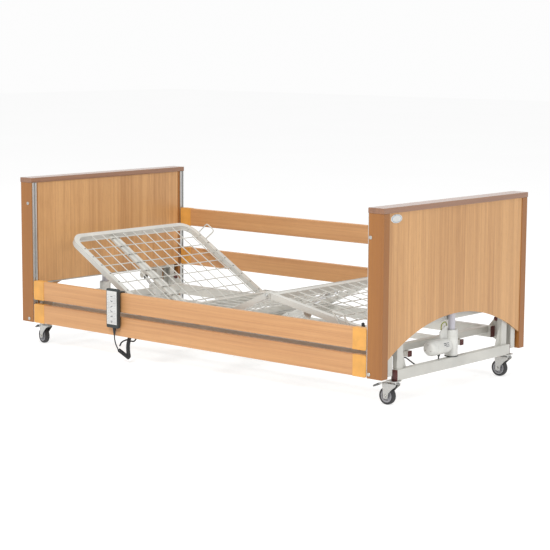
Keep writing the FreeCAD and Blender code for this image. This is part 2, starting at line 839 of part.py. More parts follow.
# ---- side rails ----
def rail_board(side, low):
    """Plain timber between the two moulded ends of one rail."""
    reach = rail_end_inner - 0.05
    span = (side * (rail_middle - rail_thickness / 2), side * (rail_middle + rail_thickness / 2))
    return round_edges(block((-reach, reach), span, (low, low + rail_height)), 4.0, x_axis)


def rail_ends(side, low, with_release):
    """Moulded rail ends whose tongues run in the post tracks; upper ones hold a release button."""
    pieces = []
    for end in (-1, 1):
        body = block(
            (end * rail_end_inner, end * rail_end_outer),
            (side * (rail_middle - 14), side * (rail_middle + 14)),
            (low - 1, low + rail_height + 1),
        )
        corners = [
            edge
            for edge in body.Edges
            if abs(edge.CenterOfMass.x - end * rail_end_outer) < 1 and abs(edge.tangentAt(0).y) > 0.9
        ]
        body = body.makeFillet(10.0, corners)
        tongue = block(
            (end * (rail_end_outer - 1), end * (rail_end_outer + 6)),
            (side * (rail_middle - 4), side * (rail_middle + 4)),
            (low + 15, low + rail_height - 15),
        )
        body = body.fuse(tongue)
        if with_release:
            centre = Vector(end * release_place, side * rail_middle, low - 2)
            body = body.cut(Part.makeCylinder(release_radius + 0.3, 18.0, centre))
        pieces.append(body)
    return pieces


def release_buttons(side, low):
    """Push buttons in the underside of one rail's two moulded ends."""
    pieces = []
    for end in (-1, 1):
        place = Vector(end * release_place, side * rail_middle, low - 4)
        button = Part.makeCylinder(release_radius, 12.0, place)
        rim = min(button.Edges, key=lambda edge: edge.CenterOfMass.z)
        pieces.append(button.makeFillet(1.5, [rim]))
    return pieces


# ---- handset ----
def key_heights():
    """Middle heights of the rocker keys, from the lowest up."""
    return [handset_low + 34 + row * key_pitch for row in range(key_rows)]


def handset_case():
    """Handset body with key pockets and a hook over the rail."""
    body = block(handset_x, (handset_back, handset_front), (handset_low, handset_high))
    body = round_edges(body, 7.0)
    middle = sum(handset_x) / 2
    for z in key_heights():
        pocket = block(
            (middle - key_half_width - 1.2, middle + key_half_width + 1.2),
            (handset_front - 1, handset_front + 5.5),
            (z - key_half_height - 0.8, z + key_half_height + 0.8),
        )
        body = body.cut(pocket)
    rail_top = near_upper_low + rail_height
    hook_x = (middle - 2, middle + 30)
    hook_outer = rail_inner_face + 5
    hook_top = rail_top + 6
    strap = block(hook_x, (handset_back - 4, hook_outer), (rail_top + 1.5, hook_top))
    leg = block(hook_x, (rail_inner_face + 1, hook_outer), (rail_top - 30, hook_top))
    return body.fuse([strap, leg])


def rocker_key(z):
    """One two-way rocker key with the pin it tips on."""
    middle = sum(handset_x) / 2
    pin_reach = key_half_height + 0.5
    pin_place = Vector(middle, handset_front + key_pin_depth, z - pin_reach)
    pin = Part.makeCylinder(1.5, 2 * pin_reach, pin_place)
    body = block(
        (middle - key_half_width, middle + key_half_width),
        (handset_front - 1.2, handset_front + 3.6),
        (z - key_half_height, z + key_half_height),
    )
    return round_edges(body, 2.0, y_axis).fuse(pin)


def handset_lead():
    """Strain relief and thin lead below the handset."""
    top = Vector(handset_x[0] + 41, handset_front + 12, handset_low - 0.05)
    bend = Vector(top.x, top.y, handset_low - 34)
    return rod(top, bend, 4.5).fuse(rod(bend, lead_end, 2.5))


def coiled_cord():
    """Outer envelope of the coiled cord that loops under the rails to the lower frame."""
    points = [
        lead_end + Vector(3, 0, -5),
        lead_end + Vector(26, 10, -24),
        Vector(-374, -508, 34),
        Vector(-376, -498, 62),
        Vector(-396, -486, 92),
        Vector(-404, -464, 160),
    ]
    curve = Part.BSplineCurve()
    curve.interpolate(points)
    path = Part.Wire(curve.toShape())
    section = Part.Wire(Part.Circle(points[0], curve.tangent(0)[0], 7.0).toShape())
    return path.makePipeShell([section], True, True)


# ---- write every node ----
save("end_posts", [post(end, side) for end in (-1, 1) for side in (-1, 1)])
save("rail_tracks", [rail_track(end, side) for end in (-1, 1) for side in (-1, 1)])
save("cap_rails", [cap_rail(-1), cap_rail(1)])
save("end_panels", [arched_panel(-1), inner_panel(-1), arched_panel(1), inner_panel(1)])
save("end_frames", end_frame(-1) + end_frame(1))
bolt_places = ((1032, 699), (1032, 139), (-1048, 697), (-1048, 138))
save("post_bolts", [post_bolt(x, z, side) for x, z in bolt_places for side in (-1, 1)])
save("blank_badge", name_badge())
save("lift_rods", [lift_rod(-1), lift_rod(1)])
save("lower_frame", lower_frame())
save("frame_plugs", frame_plugs())
save("control_box", control_box())
save("seat_section", seat_section())
save("back_section", back_section())
save("back_retainer", back_retainer())
save("thigh_section", thigh_section())
save("calf_section", calf_section())
save("calf_retainers", calf_retainers())

back_body, back_ram = deck_actuator(back_mount, back_pin, back_actuator_y, 1)
knee_body, knee_ram = deck_actuator(knee_mount, knee_pin, knee_actuator_y, 1)
save("back_actuator", back_body)
save("back_actuator_rod", back_ram)
save("knee_actuator", knee_body)
save("knee_actuator_rod", knee_ram)

for end_name, end, bar_middle, castor_middle in (
    ("foot", 1, foot_bar_middle, foot_castor_middle),
    ("head", -1, head_bar_middle, head_castor_middle),
):
    save(f"{end_name}_base_frame", base_frame(end, bar_middle))
    save(f"{end_name}_plugs_and_shoes", base_plastics(end, bar_middle))
    save(f"{end_name}_lift_actuator", lift_actuator(end))
    save(f"{end_name}_castor_mounts", both_sides(lambda side: castor_mount(castor_middle, side)))
    for side_name, side in (("near", -1), ("far", 1)):
        heading = head_near_heading if (end_name, side_name) == ("head", "near") else 0.0
        for part_name, make in (
            ("castor_fork", castor_fork),
            ("castor_wheel", castor_wheel),
            ("brake_pedal", brake_pedal),
        ):
            made = swivelled(make(castor_middle, side), castor_middle, side, heading)
            save(f"{end_name}_{side_name}_{part_name}", made)

for side_name, side, raised in (("near", -1, 0), ("far", 1, 1)):
    upper = near_upper_low + raised * rail_upper_travel
    lower = near_lower_low + raised * rail_lower_travel
    save(f"{side_name}_upper_rail_board", rail_board(side, upper))
    save(f"{side_name}_upper_rail_ends", rail_ends(side, upper, True))
    save(f"{side_name}_lower_rail_board", rail_board(side, lower))
    save(f"{side_name}_lower_rail_ends", rail_ends(side, lower, False))
    save(f"{side_name}_release_buttons", release_buttons(side, upper))

save("handset_case", handset_case())
save("handset_lead", handset_lead())
save("coiled_cord", coiled_cord())
for row, z in enumerate(key_heights(), 1):
    save(f"handset_key_{row}", rocker_key(z))
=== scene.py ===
"""Looks of the adjustable care bed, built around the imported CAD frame.

Metres, in the CAD's own frame: +X to the foot end, +Y to the far side, +Z up, origin on the floor.
"""

import json
from math import atan2, cos, pi, radians, sin, tan

import bmesh
import bpy
from mathutils import Matrix, Vector


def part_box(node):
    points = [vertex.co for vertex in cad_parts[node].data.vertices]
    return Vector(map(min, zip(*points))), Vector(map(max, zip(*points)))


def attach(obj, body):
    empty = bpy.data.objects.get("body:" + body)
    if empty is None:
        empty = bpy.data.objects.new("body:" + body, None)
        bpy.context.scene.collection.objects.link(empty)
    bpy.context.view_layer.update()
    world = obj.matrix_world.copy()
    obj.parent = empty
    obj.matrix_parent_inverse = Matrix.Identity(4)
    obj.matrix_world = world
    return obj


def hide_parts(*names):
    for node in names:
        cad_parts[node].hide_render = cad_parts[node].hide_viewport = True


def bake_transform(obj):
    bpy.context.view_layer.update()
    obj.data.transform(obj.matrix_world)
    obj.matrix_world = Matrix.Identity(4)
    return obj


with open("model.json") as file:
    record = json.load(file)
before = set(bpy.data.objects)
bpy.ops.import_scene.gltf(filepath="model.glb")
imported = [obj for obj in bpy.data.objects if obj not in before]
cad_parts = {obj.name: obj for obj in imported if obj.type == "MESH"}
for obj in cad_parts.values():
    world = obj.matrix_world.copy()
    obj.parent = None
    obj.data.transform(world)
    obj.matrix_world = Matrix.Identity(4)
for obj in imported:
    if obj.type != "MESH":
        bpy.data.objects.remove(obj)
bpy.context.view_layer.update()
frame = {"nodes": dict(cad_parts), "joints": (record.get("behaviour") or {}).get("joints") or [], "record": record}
joints = {joint["name"]: joint for joint in frame["joints"]}
slots = {row["node"]: row["material_slot"] for row in frame["record"]["subparts"]}

X, Y, Z = range(3)
TO_FOOT, TO_FAR, UP = Vector((1, 0, 0)), Vector((0, 1, 0)), Vector((0, 0, 1))
SIDES = ("near", "far")
ENDS = (("foot", 1), ("head", -1))


# ---- materials ----
materials = {}


def rgb(red, green, blue):
    """Scene-linear colour of a display colour given from 0 to 255."""

    def linear(value):
        share = value / 255
        return share / 12.92 if share <= 0.04045 else ((share + 0.055) / 1.055) ** 2.4

    return (linear(red), linear(green), linear(blue), 1.0)


class Shader:
    """A node material, wired with one call per node and listed once it is finished."""

    def __init__(self, name):
        self.name = name
        self.material = bpy.data.materials.new(name)
        self.material.use_nodes = True
        self.tree = self.material.node_tree
        self.surface = self.tree.nodes["Principled BSDF"]
        self.place = self.tree.nodes.new("ShaderNodeTexCoord").outputs["Object"]

    def feed(self, socket, value):
        """Link a socket to another, or set it to a plain value."""
        if isinstance(value, bpy.types.NodeSocket):
            self.tree.links.new(value, socket)
        elif value is not None:
            socket.default_value = value

    def maths(self, operation, *values):
        made = self.tree.nodes.new("ShaderNodeMath")
        made.operation = operation
        for socket, value in zip(made.inputs, values):
            self.feed(socket, value)
        return made.outputs[0]

    def scaled(self, scales):
        made = self.tree.nodes.new("ShaderNodeMapping")
        made.inputs["Scale"].default_value = scales
        self.feed(made.inputs["Vector"], self.place)
        return made.outputs[0]

    def noise(self, scales, detail=2.0, distortion=0.0):
        """Noise around 0.5 with its own frequency, per metre, along each axis."""
        made = self.tree.nodes.new("ShaderNodeTexNoise")
        made.inputs["Scale"].default_value = 1.0
        made.inputs["Detail"].default_value = detail
        made.inputs["Distortion"].default_value = distortion
        self.feed(made.inputs["Vector"], self.scaled(scales))
        return made.outputs[0]

    def cells(self, frequency):
        """Distance to scattered points, for spangle and speckle."""
        made = self.tree.nodes.new("ShaderNodeTexVoronoi")
        made.inputs["Scale"].default_value = 1.0
        self.feed(made.inputs["Vector"], self.scaled([frequency] * 3))
        return made.outputs[0]

    def spread(self, value, low, high, to_low=0.0, to_high=1.0):
        """Clamped map from one range of values to another."""
        made = self.tree.nodes.new("ShaderNodeMapRange")
        for socket, number in zip(made.inputs[1:5], (low, high, to_low, to_high)):
            socket.default_value = number
        self.feed(made.inputs[0], value)
        return made.outputs[0]

    def mix(self, share, first, second, mode="MIX"):
        made = self.tree.nodes.new("ShaderNodeMix")
        made.data_type = "RGBA"
        made.blend_type = mode
        self.feed(made.inputs[0], share)
        self.feed(made.inputs[6], first)
        self.feed(made.inputs[7], second)
        return made.outputs[2]

    def finish(self, colour, roughness, height, depth, metallic=0.0, coat=0.0):
        """Wire the surface; height is a bump of the given depth in metres."""
        self.feed(self.surface.inputs["Base Color"], colour)
        self.feed(self.surface.inputs["Roughness"], roughness)
        self.feed(self.surface.inputs["Metallic"], metallic)
        self.feed(self.surface.inputs["Coat Weight"], coat)
        self.feed(self.surface.inputs["Coat Roughness"], 0.25)
        bump = self.tree.nodes.new("ShaderNodeBump")
        bump.inputs["Distance"].default_value = depth
        self.feed(bump.inputs["Height"], height)
        self.feed(self.surface.inputs["Normal"], bump.outputs[0])
        materials[self.name] = self.material
        return self.material


def wood(name, grain, pale, dark, pore, figure=1.0, coat=0.1):
    """Satin wood: soft bands, streaks, growth lines, fibres and pores that run along one axis."""
    shader = Shader(name)

    def along(across, run):
        scales = [across] * 3
        scales[grain] = run
        return scales

    bands = shader.noise(along(13.0, 0.4), 2.0)
    streaks = shader.noise(along(88.0, 0.9), 3.0)
    growth = shader.noise(along(6.0, 0.7), 1.0, 0.4)
    lines = shader.maths("SINE", shader.maths("MULTIPLY", growth, 75.0))
    fibres = shader.noise(along(290.0, 4.5), 3.0)
    pores = shader.noise(along(1100.0, 26.0), 1.0)
    flecks = shader.noise(along(210.0, 1.6), 1.0)
    tone = 0.0
    for part, share in ((bands, 0.42), (streaks, 0.4), (fibres, 0.18), (lines, 0.016)):
        tone = shader.maths("MULTIPLY_ADD", part, share, tone)
    light = tuple(1.16 * part for part in pale[:3]) + (1.0,)
    half_range = 0.11 / figure
    colour = shader.mix(shader.spread(tone, 0.5 - half_range, 0.5 + half_range), dark, pale)
    colour = shader.mix(shader.spread(flecks, 0.6, 0.72, 0.0, 0.4 * figure), colour, light)
    colour = shader.mix(shader.spread(pores, 0.58, 0.72, 0.0, 0.35 * figure), colour, pore)
    height = shader.maths("SUBTRACT", fibres, shader.spread(pores, 0.55, 0.7))
    shader.finish(colour, shader.spread(fibres, 0.3, 0.7, 0.36, 0.5), height, 0.00006, coat=coat)


def coated_metal(name, colour, gloss=0.34):
    """Powder coat: fine orange peel, slight clouding and faint rubbed patches."""
    shader = Shader(name)
    clouds = shader.noise([7.0] * 3, 4.0)
    peel = shader.noise([620.0] * 3, 1.5)
    rubbed = shader.spread(shader.noise([38.0] * 3, 5.0), 0.56, 0.72)
    deep = tuple(0.86 * part for part in colour[:3]) + (1.0,)
    tint = shader.mix(shader.spread(clouds, 0.35, 0.65), deep, colour)
    worn = shader.maths("MULTIPLY", rubbed, 0.1)
    roughness = shader.maths("SUBTRACT", shader.spread(clouds, 0.3, 0.7, gloss, gloss + 0.12), worn)
    shader.finish(tint, roughness, peel, 0.00005, coat=0.3)


def bare_metal(name, colour, roughness, brushed=None):
    """Plated or bare metal, with spangle, or with brush lines along one axis."""
    shader = Shader(name)
    scales = [900.0] * 3
    if brushed is not None:
        scales[brushed] = 12.0
    lines = shader.noise(scales, 2.0)
    spangle = shader.spread(shader.cells(160.0), 0.1, 0.8)
    deep = tuple(0.72 * part for part in colour[:3]) + (1.0,)
    tint = shader.mix(shader.maths("MULTIPLY", spangle, 0.6), colour, deep)
    tint = shader.mix(shader.spread(lines, 0.35, 0.65, 0.0, 0.35), tint, deep)
    finish = shader.spread(lines, 0.3, 0.7, roughness - 0.06, roughness + 0.1)
    shader.finish(tint, finish, lines, 0.00002, metallic=1.0)


def moulded(name, colour, roughness=0.45, texture=1400.0, depth=0.00004):
    """Injection-moulded plastic with a fine spark-eroded texture and faint flow clouding."""
    shader = Shader(name)
    clouds = shader.noise([22.0] * 3, 3.0)
    grain = shader.noise([texture] * 3, 1.0)
    deep = tuple(0.82 * part for part in colour[:3]) + (1.0,)
    tint = shader.mix(shader.spread(clouds, 0.3, 0.7), deep, colour)
    sheen = shader.spread(clouds, 0.3, 0.7, roughness - 0.05, roughness + 0.08)
    shader.finish(tint, sheen, grain, depth)


def rubber(name, colour, dust):
    """Matt rubber with a little floor dust caught in its texture."""
    shader = Shader(name)
    grain = shader.noise([520.0] * 3, 4.0)
    patches = shader.noise([45.0] * 3, 5.0)
    tint = shader.mix(shader.spread(patches, 0.48, 0.75, 0.0, 0.5), colour, dust)
    shader.finish(tint, shader.spread(patches, 0.3, 0.7, 0.62, 0.86), grain, 0.00012)


board_tones = (rgb(207, 159, 106), rgb(181, 133, 84), rgb(138, 95, 56))
post_tones = (rgb(158, 103, 45), rgb(141, 88, 36), rgb(110, 66, 28))
cap_tones = (rgb(146, 100, 66), rgb(122, 79, 50), rgb(84, 50, 31))
rail_tones = (rgb(208, 157, 106), rgb(182, 130, 84), rgb(142, 96, 58))

wood("oak_board", Z, *board_tones)
wood("oak_post", Z, *post_tones, figure=0.6)
wood("cap_wood", Y, *cap_tones, figure=0.8, coat=1.0)
wood("rail_wood", X, *rail_tones, figure=0.7)
coated_metal("grey_steel", rgb(200, 199, 192))
bare_metal("zinc", rgb(196, 196, 193), 0.3)
bare_metal("bright_rod", rgb(225, 225, 225), 0.14, Z)
bare_metal("aluminium_track", rgb(214, 214, 212), 0.34, Z)
moulded("maroon_plastic", rgb(88, 35, 32), 0.34)
moulded("amber_plastic", rgb(224, 163, 79), 0.4, 900.0)
moulded("pale_plastic", rgb(214, 214, 209), 0.4)
moulded("tube_plastic", rgb(198, 196, 204), 0.3)
# the weld marks' dark colour is painted shade at the backrest's wire crossings and wire ends
rubber("weld_mark", rgb(72, 72, 68), rgb(120, 118, 112))
moulded("earth_wire", rgb(176, 186, 62), 0.4)
bare_metal("pedal_steel", rgb(120, 122, 122), 0.4)
moulded("dark_plastic", rgb(50, 56, 56), 0.62, 1100.0, 0.00006)
moulded("white_plastic", rgb(214, 214, 211), 0.34, 2200.0, 0.00001)
moulded("key_rubber", rgb(212, 213, 211), 0.5)
rubber("cord_rubber", rgb(38, 40, 42), rgb(70, 70, 70))
# castor tyre: dark rubber, made darker still as painted shade for the shadow under the fork plate
rubber("castor_rubber", rgb(50, 50, 52), rgb(88, 87, 84))
moulded("castor_hub", rgb(156, 156, 160), 0.36)
moulded("print_ink", rgb(52, 58, 66), 0.5)
moulded("arrow_ink", rgb(168, 176, 182), 0.5)
moulded("badge_line", rgb(120, 150, 178), 0.4)


def paint(obj, material):
    """Give every material slot of an object the same material."""
    if not obj.material_slots:
        obj.data.materials.append(material)
    for slot in obj.material_slots:
        slot.material = material


def soften(obj, width):
    """Round the sharp edges of a CAD node a little, so that they catch the light."""
    weld = obj.modifiers.new("weld", "WELD")
    weld.merge_threshold = 0.00001
    flatten = obj.modifiers.new("flatten", "DECIMATE")
    flatten.decimate_type = "DISSOLVE"
    flatten.angle_limit = radians(0.5)
    bevel = obj.modifiers.new("bevel", "BEVEL")
    bevel.limit_method = "ANGLE"
    bevel.angle_limit = radians(50)
    bevel.width = width
    bevel.segments = 2
    bevel.harden_normals = False
    normals = obj.modifiers.new("normals", "WEIGHTED_NORMAL")
    normals.keep_sharp = False


# ---- mesh tools ----
def smooth_path(points, steps=8):
    """Curve through every point, with the given number of steps between two of them."""
    corners = [Vector(point) for point in points]
    ends = [2 * corners[0] - corners[1]] + corners + [2 * corners[-1] - corners[-2]]
    path = []
    for i in range(len(corners) - 1):
        before, start, end, after = ends[i : i + 4]
        for step in range(steps):
            t = step / steps
            bend = (2 * before - 5 * start + 4 * end - after) * t * t
            twist = (3 * start - before - 3 * end + after) * t * t * t
            path.append(start + ((end - before) * t + bend + twist) / 2)
    return path + [corners[-1]]


def turns(steps):
    """Equal angles round a full circle."""
    return [2 * pi * step / steps for step in range(steps)]


def carried_frames(points):
    """Two cross directions at each point of a path, turned as little as possible along it."""
    last = len(points) - 1
    side = None
    frames = []
    for i in range(len(points)):
        run = (points[min(i + 1, last)] - points[max(i - 1, 0)]).normalized()
        side = run.orthogonal() if side is None else side
        side = (side - run * side.dot(run)).normalized()
        frames.append((side, run.cross(side)))
    return frames


def coil(path, radius, pitch, per_turn=12, far_end_free=False):
    """Helix round a path; it starts on the path, and ends on it unless that end is left free."""
    length = sum((b - a).length for a, b in zip(path, path[1:]))
    steps = int(length / pitch * per_turn)
    frames = carried_frames(path)
    helix = []
    for step in range(steps + 1):
        share = step / steps
        at = share * (len(path) - 1)
        i = min(int(at), len(path) - 2)
        centre = path[i].lerp(path[i + 1], at - i)
        side, other = frames[i]
        swell = min(1.0, 12 * share, 1.0 if far_end_free else 12 * (1 - share))
        angle = 2 * pi * step / per_turn
        helix.append(centre + (side * cos(angle) + other * sin(angle)) * radius * swell)
    return helix


def rounded(points, radius, steps=4):
    """Closed outline with every corner eased by a curve."""
    corners = [Vector(point) for point in points]
    outline = []
    for i, corner in enumerate(corners):
        before = corners[i - 1] - corner
        after = corners[(i + 1) % len(corners)] - corner
        reach = radius / tan(before.angle(after) / 2)
        start = corner + before.normalized() * min(reach, 0.48 * before.length)
        end = corner + after.normalized() * min(reach, 0.48 * after.length)
        for step in range(steps + 1):
            t = step / steps
            outline.append(start.lerp(corner, t).lerp(corner.lerp(end, t), t))
    return outline


def ease_edges(part, edges, width, segments):
    """Round the given edges of a bmesh."""
    bmesh.ops.bevel(
        part,
        geom=edges,
        offset=width,
        segments=segments,
        profile=0.5,
        affect="EDGES",
        clamp_overlap=True,
    )


class Piece:
    """Mesh parts that are collected and then become one object on a body."""

    def __init__(self, name, material):
        self.name = name
        self.mesh = bmesh.new()
        self.materials = []
        self.place = Matrix.Identity(4)
        self.use(material)

    def use(self, name):
        """Parts added from here on have the named material."""
        material = materials[name]
        if material not in self.materials:
            self.materials.append(material)
        self.index = self.materials.index(material)

    def absorb(self, part):
        """Add a finished bmesh, in local coordinates."""
        part.verts.index_update()
        made = [self.mesh.verts.new(self.place @ vertex.co) for vertex in part.verts]
        for face in part.faces:
            copy = self.mesh.faces.new([made[vertex.index] for vertex in face.verts])
            copy.material_index = self.index
            copy.smooth = True
        part.free()

    def box(self, low, high, bevel=0.001, segments=3):
        """Box with rounded edges between two corners."""
        low, high = Vector(low), Vector(high)
        part = bmesh.new()
        size = Matrix.Diagonal([abs(a - b) for a, b in zip(low, high)]).to_4x4()
        bmesh.ops.create_cube(part, size=1.0, matrix=Matrix.Translation((low + high) / 2) @ size)
        ease_edges(part, part.edges[:], bevel, segments)
        self.absorb(part)

    def skin(self, rings, closed=False):
        """Surface through rings of points; a ring of one point closes an end."""
        part = bmesh.new()
        made = [[part.verts.new(point) for point in ring] for ring in rings]
        pairs = list(zip(made, made[1:])) + ([(made[-1], made[0])] if closed else [])
        for lower, upper in pairs:
            count = max(len(lower), len(upper))
            for i in range(count):
                j = (i + 1) % count
                corners = [lower[k % len(lower)] for k in (i, j)] + [upper[k % len(upper)] for k in (j, i)]
                part.faces.new(list(dict.fromkeys(corners)))
        if not closed:
            for ring in (made[0], made[-1]):
                if len(ring) > 2:
                    part.faces.new(ring)
        self.absorb(part)

    def lathe(self, origin, axis, profile, steps=32, closed=False):
        """Turn (radius, distance along the axis) pairs about an axis; closed makes a ring."""
        turn = Matrix.Translation(Vector(origin)) @ Vector(axis).to_track_quat("Z", "Y").to_matrix().to_4x4()
        rings = []
        for radius, along in profile:
            angles = turns(steps) if radius > 0 else [0.0]
            rings.append([turn @ Vector((radius * cos(a), radius * sin(a), along)) for a in angles])
        self.skin(rings, closed)

    def tube(self, points, radius, sides=10):
        """Round bar along a path."""
        rings = []
        for point, (side, other) in zip(points, carried_frames(points)):
            rings.append([point + (side * cos(a) + other * sin(a)) * radius for a in turns(sides)])
        self.skin(rings)

    def plate(self, outline, thickness, middle=0.0, bevel=0.0005):
        """Flat plate from an outline of local (x, z) points, centred on local y = middle."""
        part = bmesh.new()
        half = thickness / 2
        faces = []
        for y in (middle - half, middle + half):
            faces.append(part.faces.new([part.verts.new((x, y, z)) for x, z in outline]))
        rims = [face.edges[:] for face in faces]
        bmesh.ops.bridge_loops(part, edges=rims[0] + rims[1])
        bmesh.ops.recalc_face_normals(part, faces=part.faces)
        ease_edges(part, rims[0] + rims[1], bevel, 2)
        self.absorb(part)

    def done(self, body, slot, *replaced):
        """Make the object; body None leaves it on no body."""
        bmesh.ops.recalc_face_normals(self.mesh, faces=self.mesh.faces)
        data = bpy.data.meshes.new(self.name)
        self.mesh.to_mesh(data)
        self.mesh.free()
        for material in self.materials:
            data.materials.append(material)
        data.set_sharp_from_angle(angle=radians(40))
        obj = bpy.data.objects.new(self.name, data)
        bpy.context.scene.collection.objects.link(obj)
        if body is not None:
            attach(obj, body)
        if replaced:
            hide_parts(*replaced)
        return obj


def rod(radius, start, end):
    """Profile of a plain round bar between two distances along its axis."""
    return [(0.0, start), (radius, start), (radius, end), (0.0, end)]


def mirrored(profile):
    """Profile of a wheel's one half, followed by the same half turned over."""
    return profile + [(radius, -along) for radius, along in reversed(profile)]


def bolt_head(piece, at, axis, radius, height):
    """Domed bolt head with a washer under it."""
    profile = [
        (0.0, 0.0), (1.35 * radius, 0.0), (1.35 * radius, 0.25 * height), (radius, 0.3 * height),
        (0.97 * radius, 0.7 * height), (0.7 * radius, 0.95 * height), (0.0, height),
    ]
    piece.lathe(at, axis, profile, 20)


def hex_nut(piece, at, axis, radius, height):
    """Hexagon nut with chamfered top and the bolt's end standing in it."""
    nut = [(0.0, 0.0), (radius, 0.0), (radius, 0.85 * height), (0.88 * radius, height), (0.0, height)]
    bolt = [(0.0, 0.0), (0.5 * radius, 0.0), (0.5 * radius, 1.25 * height), (0.0, 1.3 * height)]
    piece.lathe(at, axis, nut, 6)
    piece.lathe(at, axis, bolt, 16)


def cable_gland(piece, at, axis, radii, steps):
    """Tapered sleeve where a cable leaves a housing, with radii from foot to tip."""
    foot, middle, tip = radii
    profile = [(0.0, 0.0), (foot, 0.0), (middle, 0.006), (tip, 0.009), (0.0, 0.009)]
    piece.lathe(at, axis, profile, steps)


# ---- castors ----
wheel_low, wheel_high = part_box("foot_near_castor_wheel")
wheel_radius = (wheel_high.z - wheel_low.z) / 2
wheel_half = (wheel_high.y - wheel_low.y) / 2
leg_middle = 0.01575
leg_thickness = 0.0025
brake_reach = 0.041
brake_height = 0.086


def joint_place(name):
    """Where a joint's axis passes, at rest."""
    return Vector(joints[name]["pos_m"])


def castor_place(name):
    """Local frame of a castor: origin under its king pin, axle along Y, trailing to -X."""
    king = joint_place(f"{name}_castor_swivel")
    axle = joints[f"{name}_wheel_roll"]["axis"]
    heading = atan2(-axle[X], axle[Y])
    return Matrix.Translation((king.x, king.y, 0)) @ Matrix.Rotation(heading, 4, "Z")


def castor_trail(name):
    """How far a castor's axle lies behind its king pin."""
    king = joint_place(f"{name}_castor_swivel")
    axle = joint_place(f"{name}_wheel_roll")
    return (king.xy - axle.xy).length


def castor_wheel(name):
    """Rounded tyre on a ribbed hub."""
    piece = Piece(f"{name}_wheel_moulded", "castor_rubber")
    piece.place = castor_place(name) @ Matrix.Translation((-castor_trail(name), 0, wheel_radius))
    shares = [
        (0.74, -0.8), (0.77, -0.97), (0.84, -1.0), (0.92, -0.93), (0.965, -0.78), (0.988, -0.5),
        (1.0, -0.12),
    ]
    tyre = mirrored([(a * wheel_radius, b * wheel_half) for a, b in shares])
    piece.lathe((0, 0, 0), TO_FAR, tyre, 64, closed=True)
    piece.use("castor_hub")
    shares = [
        (0.12, -1.02), (0.235, -1.0), (0.26, -0.55), (0.56, -0.5), (0.6, -0.84), (0.73, -0.88),
        (0.75, -0.7),
    ]
    hub = mirrored([(a * wheel_radius, b * wheel_half) for a, b in shares])
    piece.lathe((0, 0, 0), TO_FAR, hub, 48, closed=True)
    rest = piece.place
    for step in range(8):
        piece.place = rest @ Matrix.Rotation(pi * step / 4, 4, "Y")
        for face in (-1, 1):
            low = (0.2 * wheel_radius, face * 0.45 * wheel_half, -0.0009)
            piece.box(low, (0.62 * wheel_radius, face * 0.8 * wheel_half, 0.0009), 0.0004, 1)
    piece.done(f"{name}_wheel", "castor_rubber", f"{name}_castor_wheel")


def castor_fork(name):
    """Pressed fork with its ball race, dust ring, axle bolt and brake pin."""
    piece = Piece(f"{name}_fork_pressed", "zinc")
    piece.place = castor_place(name)
    axle_x = -castor_trail(name)
    cup = [
        (0.0062, 0.1003), (0.0185, 0.1003), (0.0222, 0.0988), (0.0232, 0.0962), (0.0222, 0.0935),
        (0.0062, 0.0915),
    ]
    piece.lathe((0, 0, 0), UP, cup, 40, closed=True)
    back = -0.047
    front = 0.023
    crown = 0.0945
    under = crown - 0.004
    top = rounded([(back, under), (front, under), (front, crown), (back, crown)], 0.001, 2)
    piece.plate(top, 2 * leg_middle + leg_thickness, 0.0, 0.0012)
    toe = 0.0115
    half = leg_middle + leg_thickness / 2
    outline = [
        (back, crown), (front, crown), (0.0225, 0.083), (0.004, 0.069),
        (axle_x + toe + 0.004, 0.05), (axle_x + toe, wheel_radius - toe),
        (axle_x - toe, wheel_radius - toe), (axle_x - toe - 0.001, 0.058), (back, 0.079),
    ]
    for face in (-1, 1):
        piece.plate(rounded(outline, 0.007, 5), leg_thickness, face * leg_middle, 0.0006)
        outer = Vector((axle_x, face * half, wheel_radius))
        hex_nut(piece, outer, Vector((0, face, 0)), 0.0062, 0.004)
        pin = Vector((-brake_reach, face * half, brake_height))
        bolt_head(piece, pin, Vector((0, face, 0)), 0.0034, 0.002)
    piece.lathe((axle_x, 0, wheel_radius), TO_FAR, rod(0.004, -half, half), 16)
    piece.lathe((-brake_reach, 0, brake_height), TO_FAR, rod(0.0025, -half, half), 12)
    piece.use("dark_plastic")
    dust_ring = [(0.0215, crown), (0.0238, crown), (0.0238, 0.0928), (0.0215, 0.0928)]
    piece.lathe((0, 0, 0), UP, dust_ring, 40, closed=True)
    piece.done(f"{name}_castor", "zinc", f"{name}_castor_fork")


def brake_pedal(name):
    """Pressed foot lever with a ribbed pad."""
    piece = Piece(f"{name}_pedal_pressed", "zinc")
    piece.place = castor_place(name) @ Matrix.Translation((-brake_reach, 0, brake_height))
    arm = [
        (0.004, 0.0042), (-0.009, 0.0046), (-0.03, 0.0002), (-0.052, -0.0115), (-0.0505, -0.0142),
        (-0.028, -0.0032), (-0.009, -0.0012), (0.0036, -0.0042),
    ]
    piece.plate(rounded(arm, 0.006, 4), 0.0215, 0.0, 0.0007)
    pad = [(-0.055, -0.0118), (-0.053, -0.0184), (-0.029, -0.0068), (-0.031, -0.0002)]
    piece.use("pedal_steel")
    piece.plate(rounded(pad, 0.0012, 3), 0.03, 0.0, 0.0012)
    slope = (Vector(pad[0]) - Vector(pad[3])).normalized()
    for step in range(5):
        at = Vector(pad[3]) + slope * (0.0035 + 0.0048 * step)
        ridge = [Vector((at.x, y, at.y)) for y in (-0.0125, 0.0125)]
        piece.tube(ridge, 0.0011, 8)
    piece.lathe((0, 0, 0), TO_FAR, rod(0.0043, -0.0119, 0.0119), 20)
    piece.done(f"{name}_pedal", "zinc", f"{name}_brake_pedal")


for corner in ("foot_near", "foot_far", "head_near", "head_far"):
    castor_fork(corner)
    castor_wheel(corner)
    brake_pedal(corner)


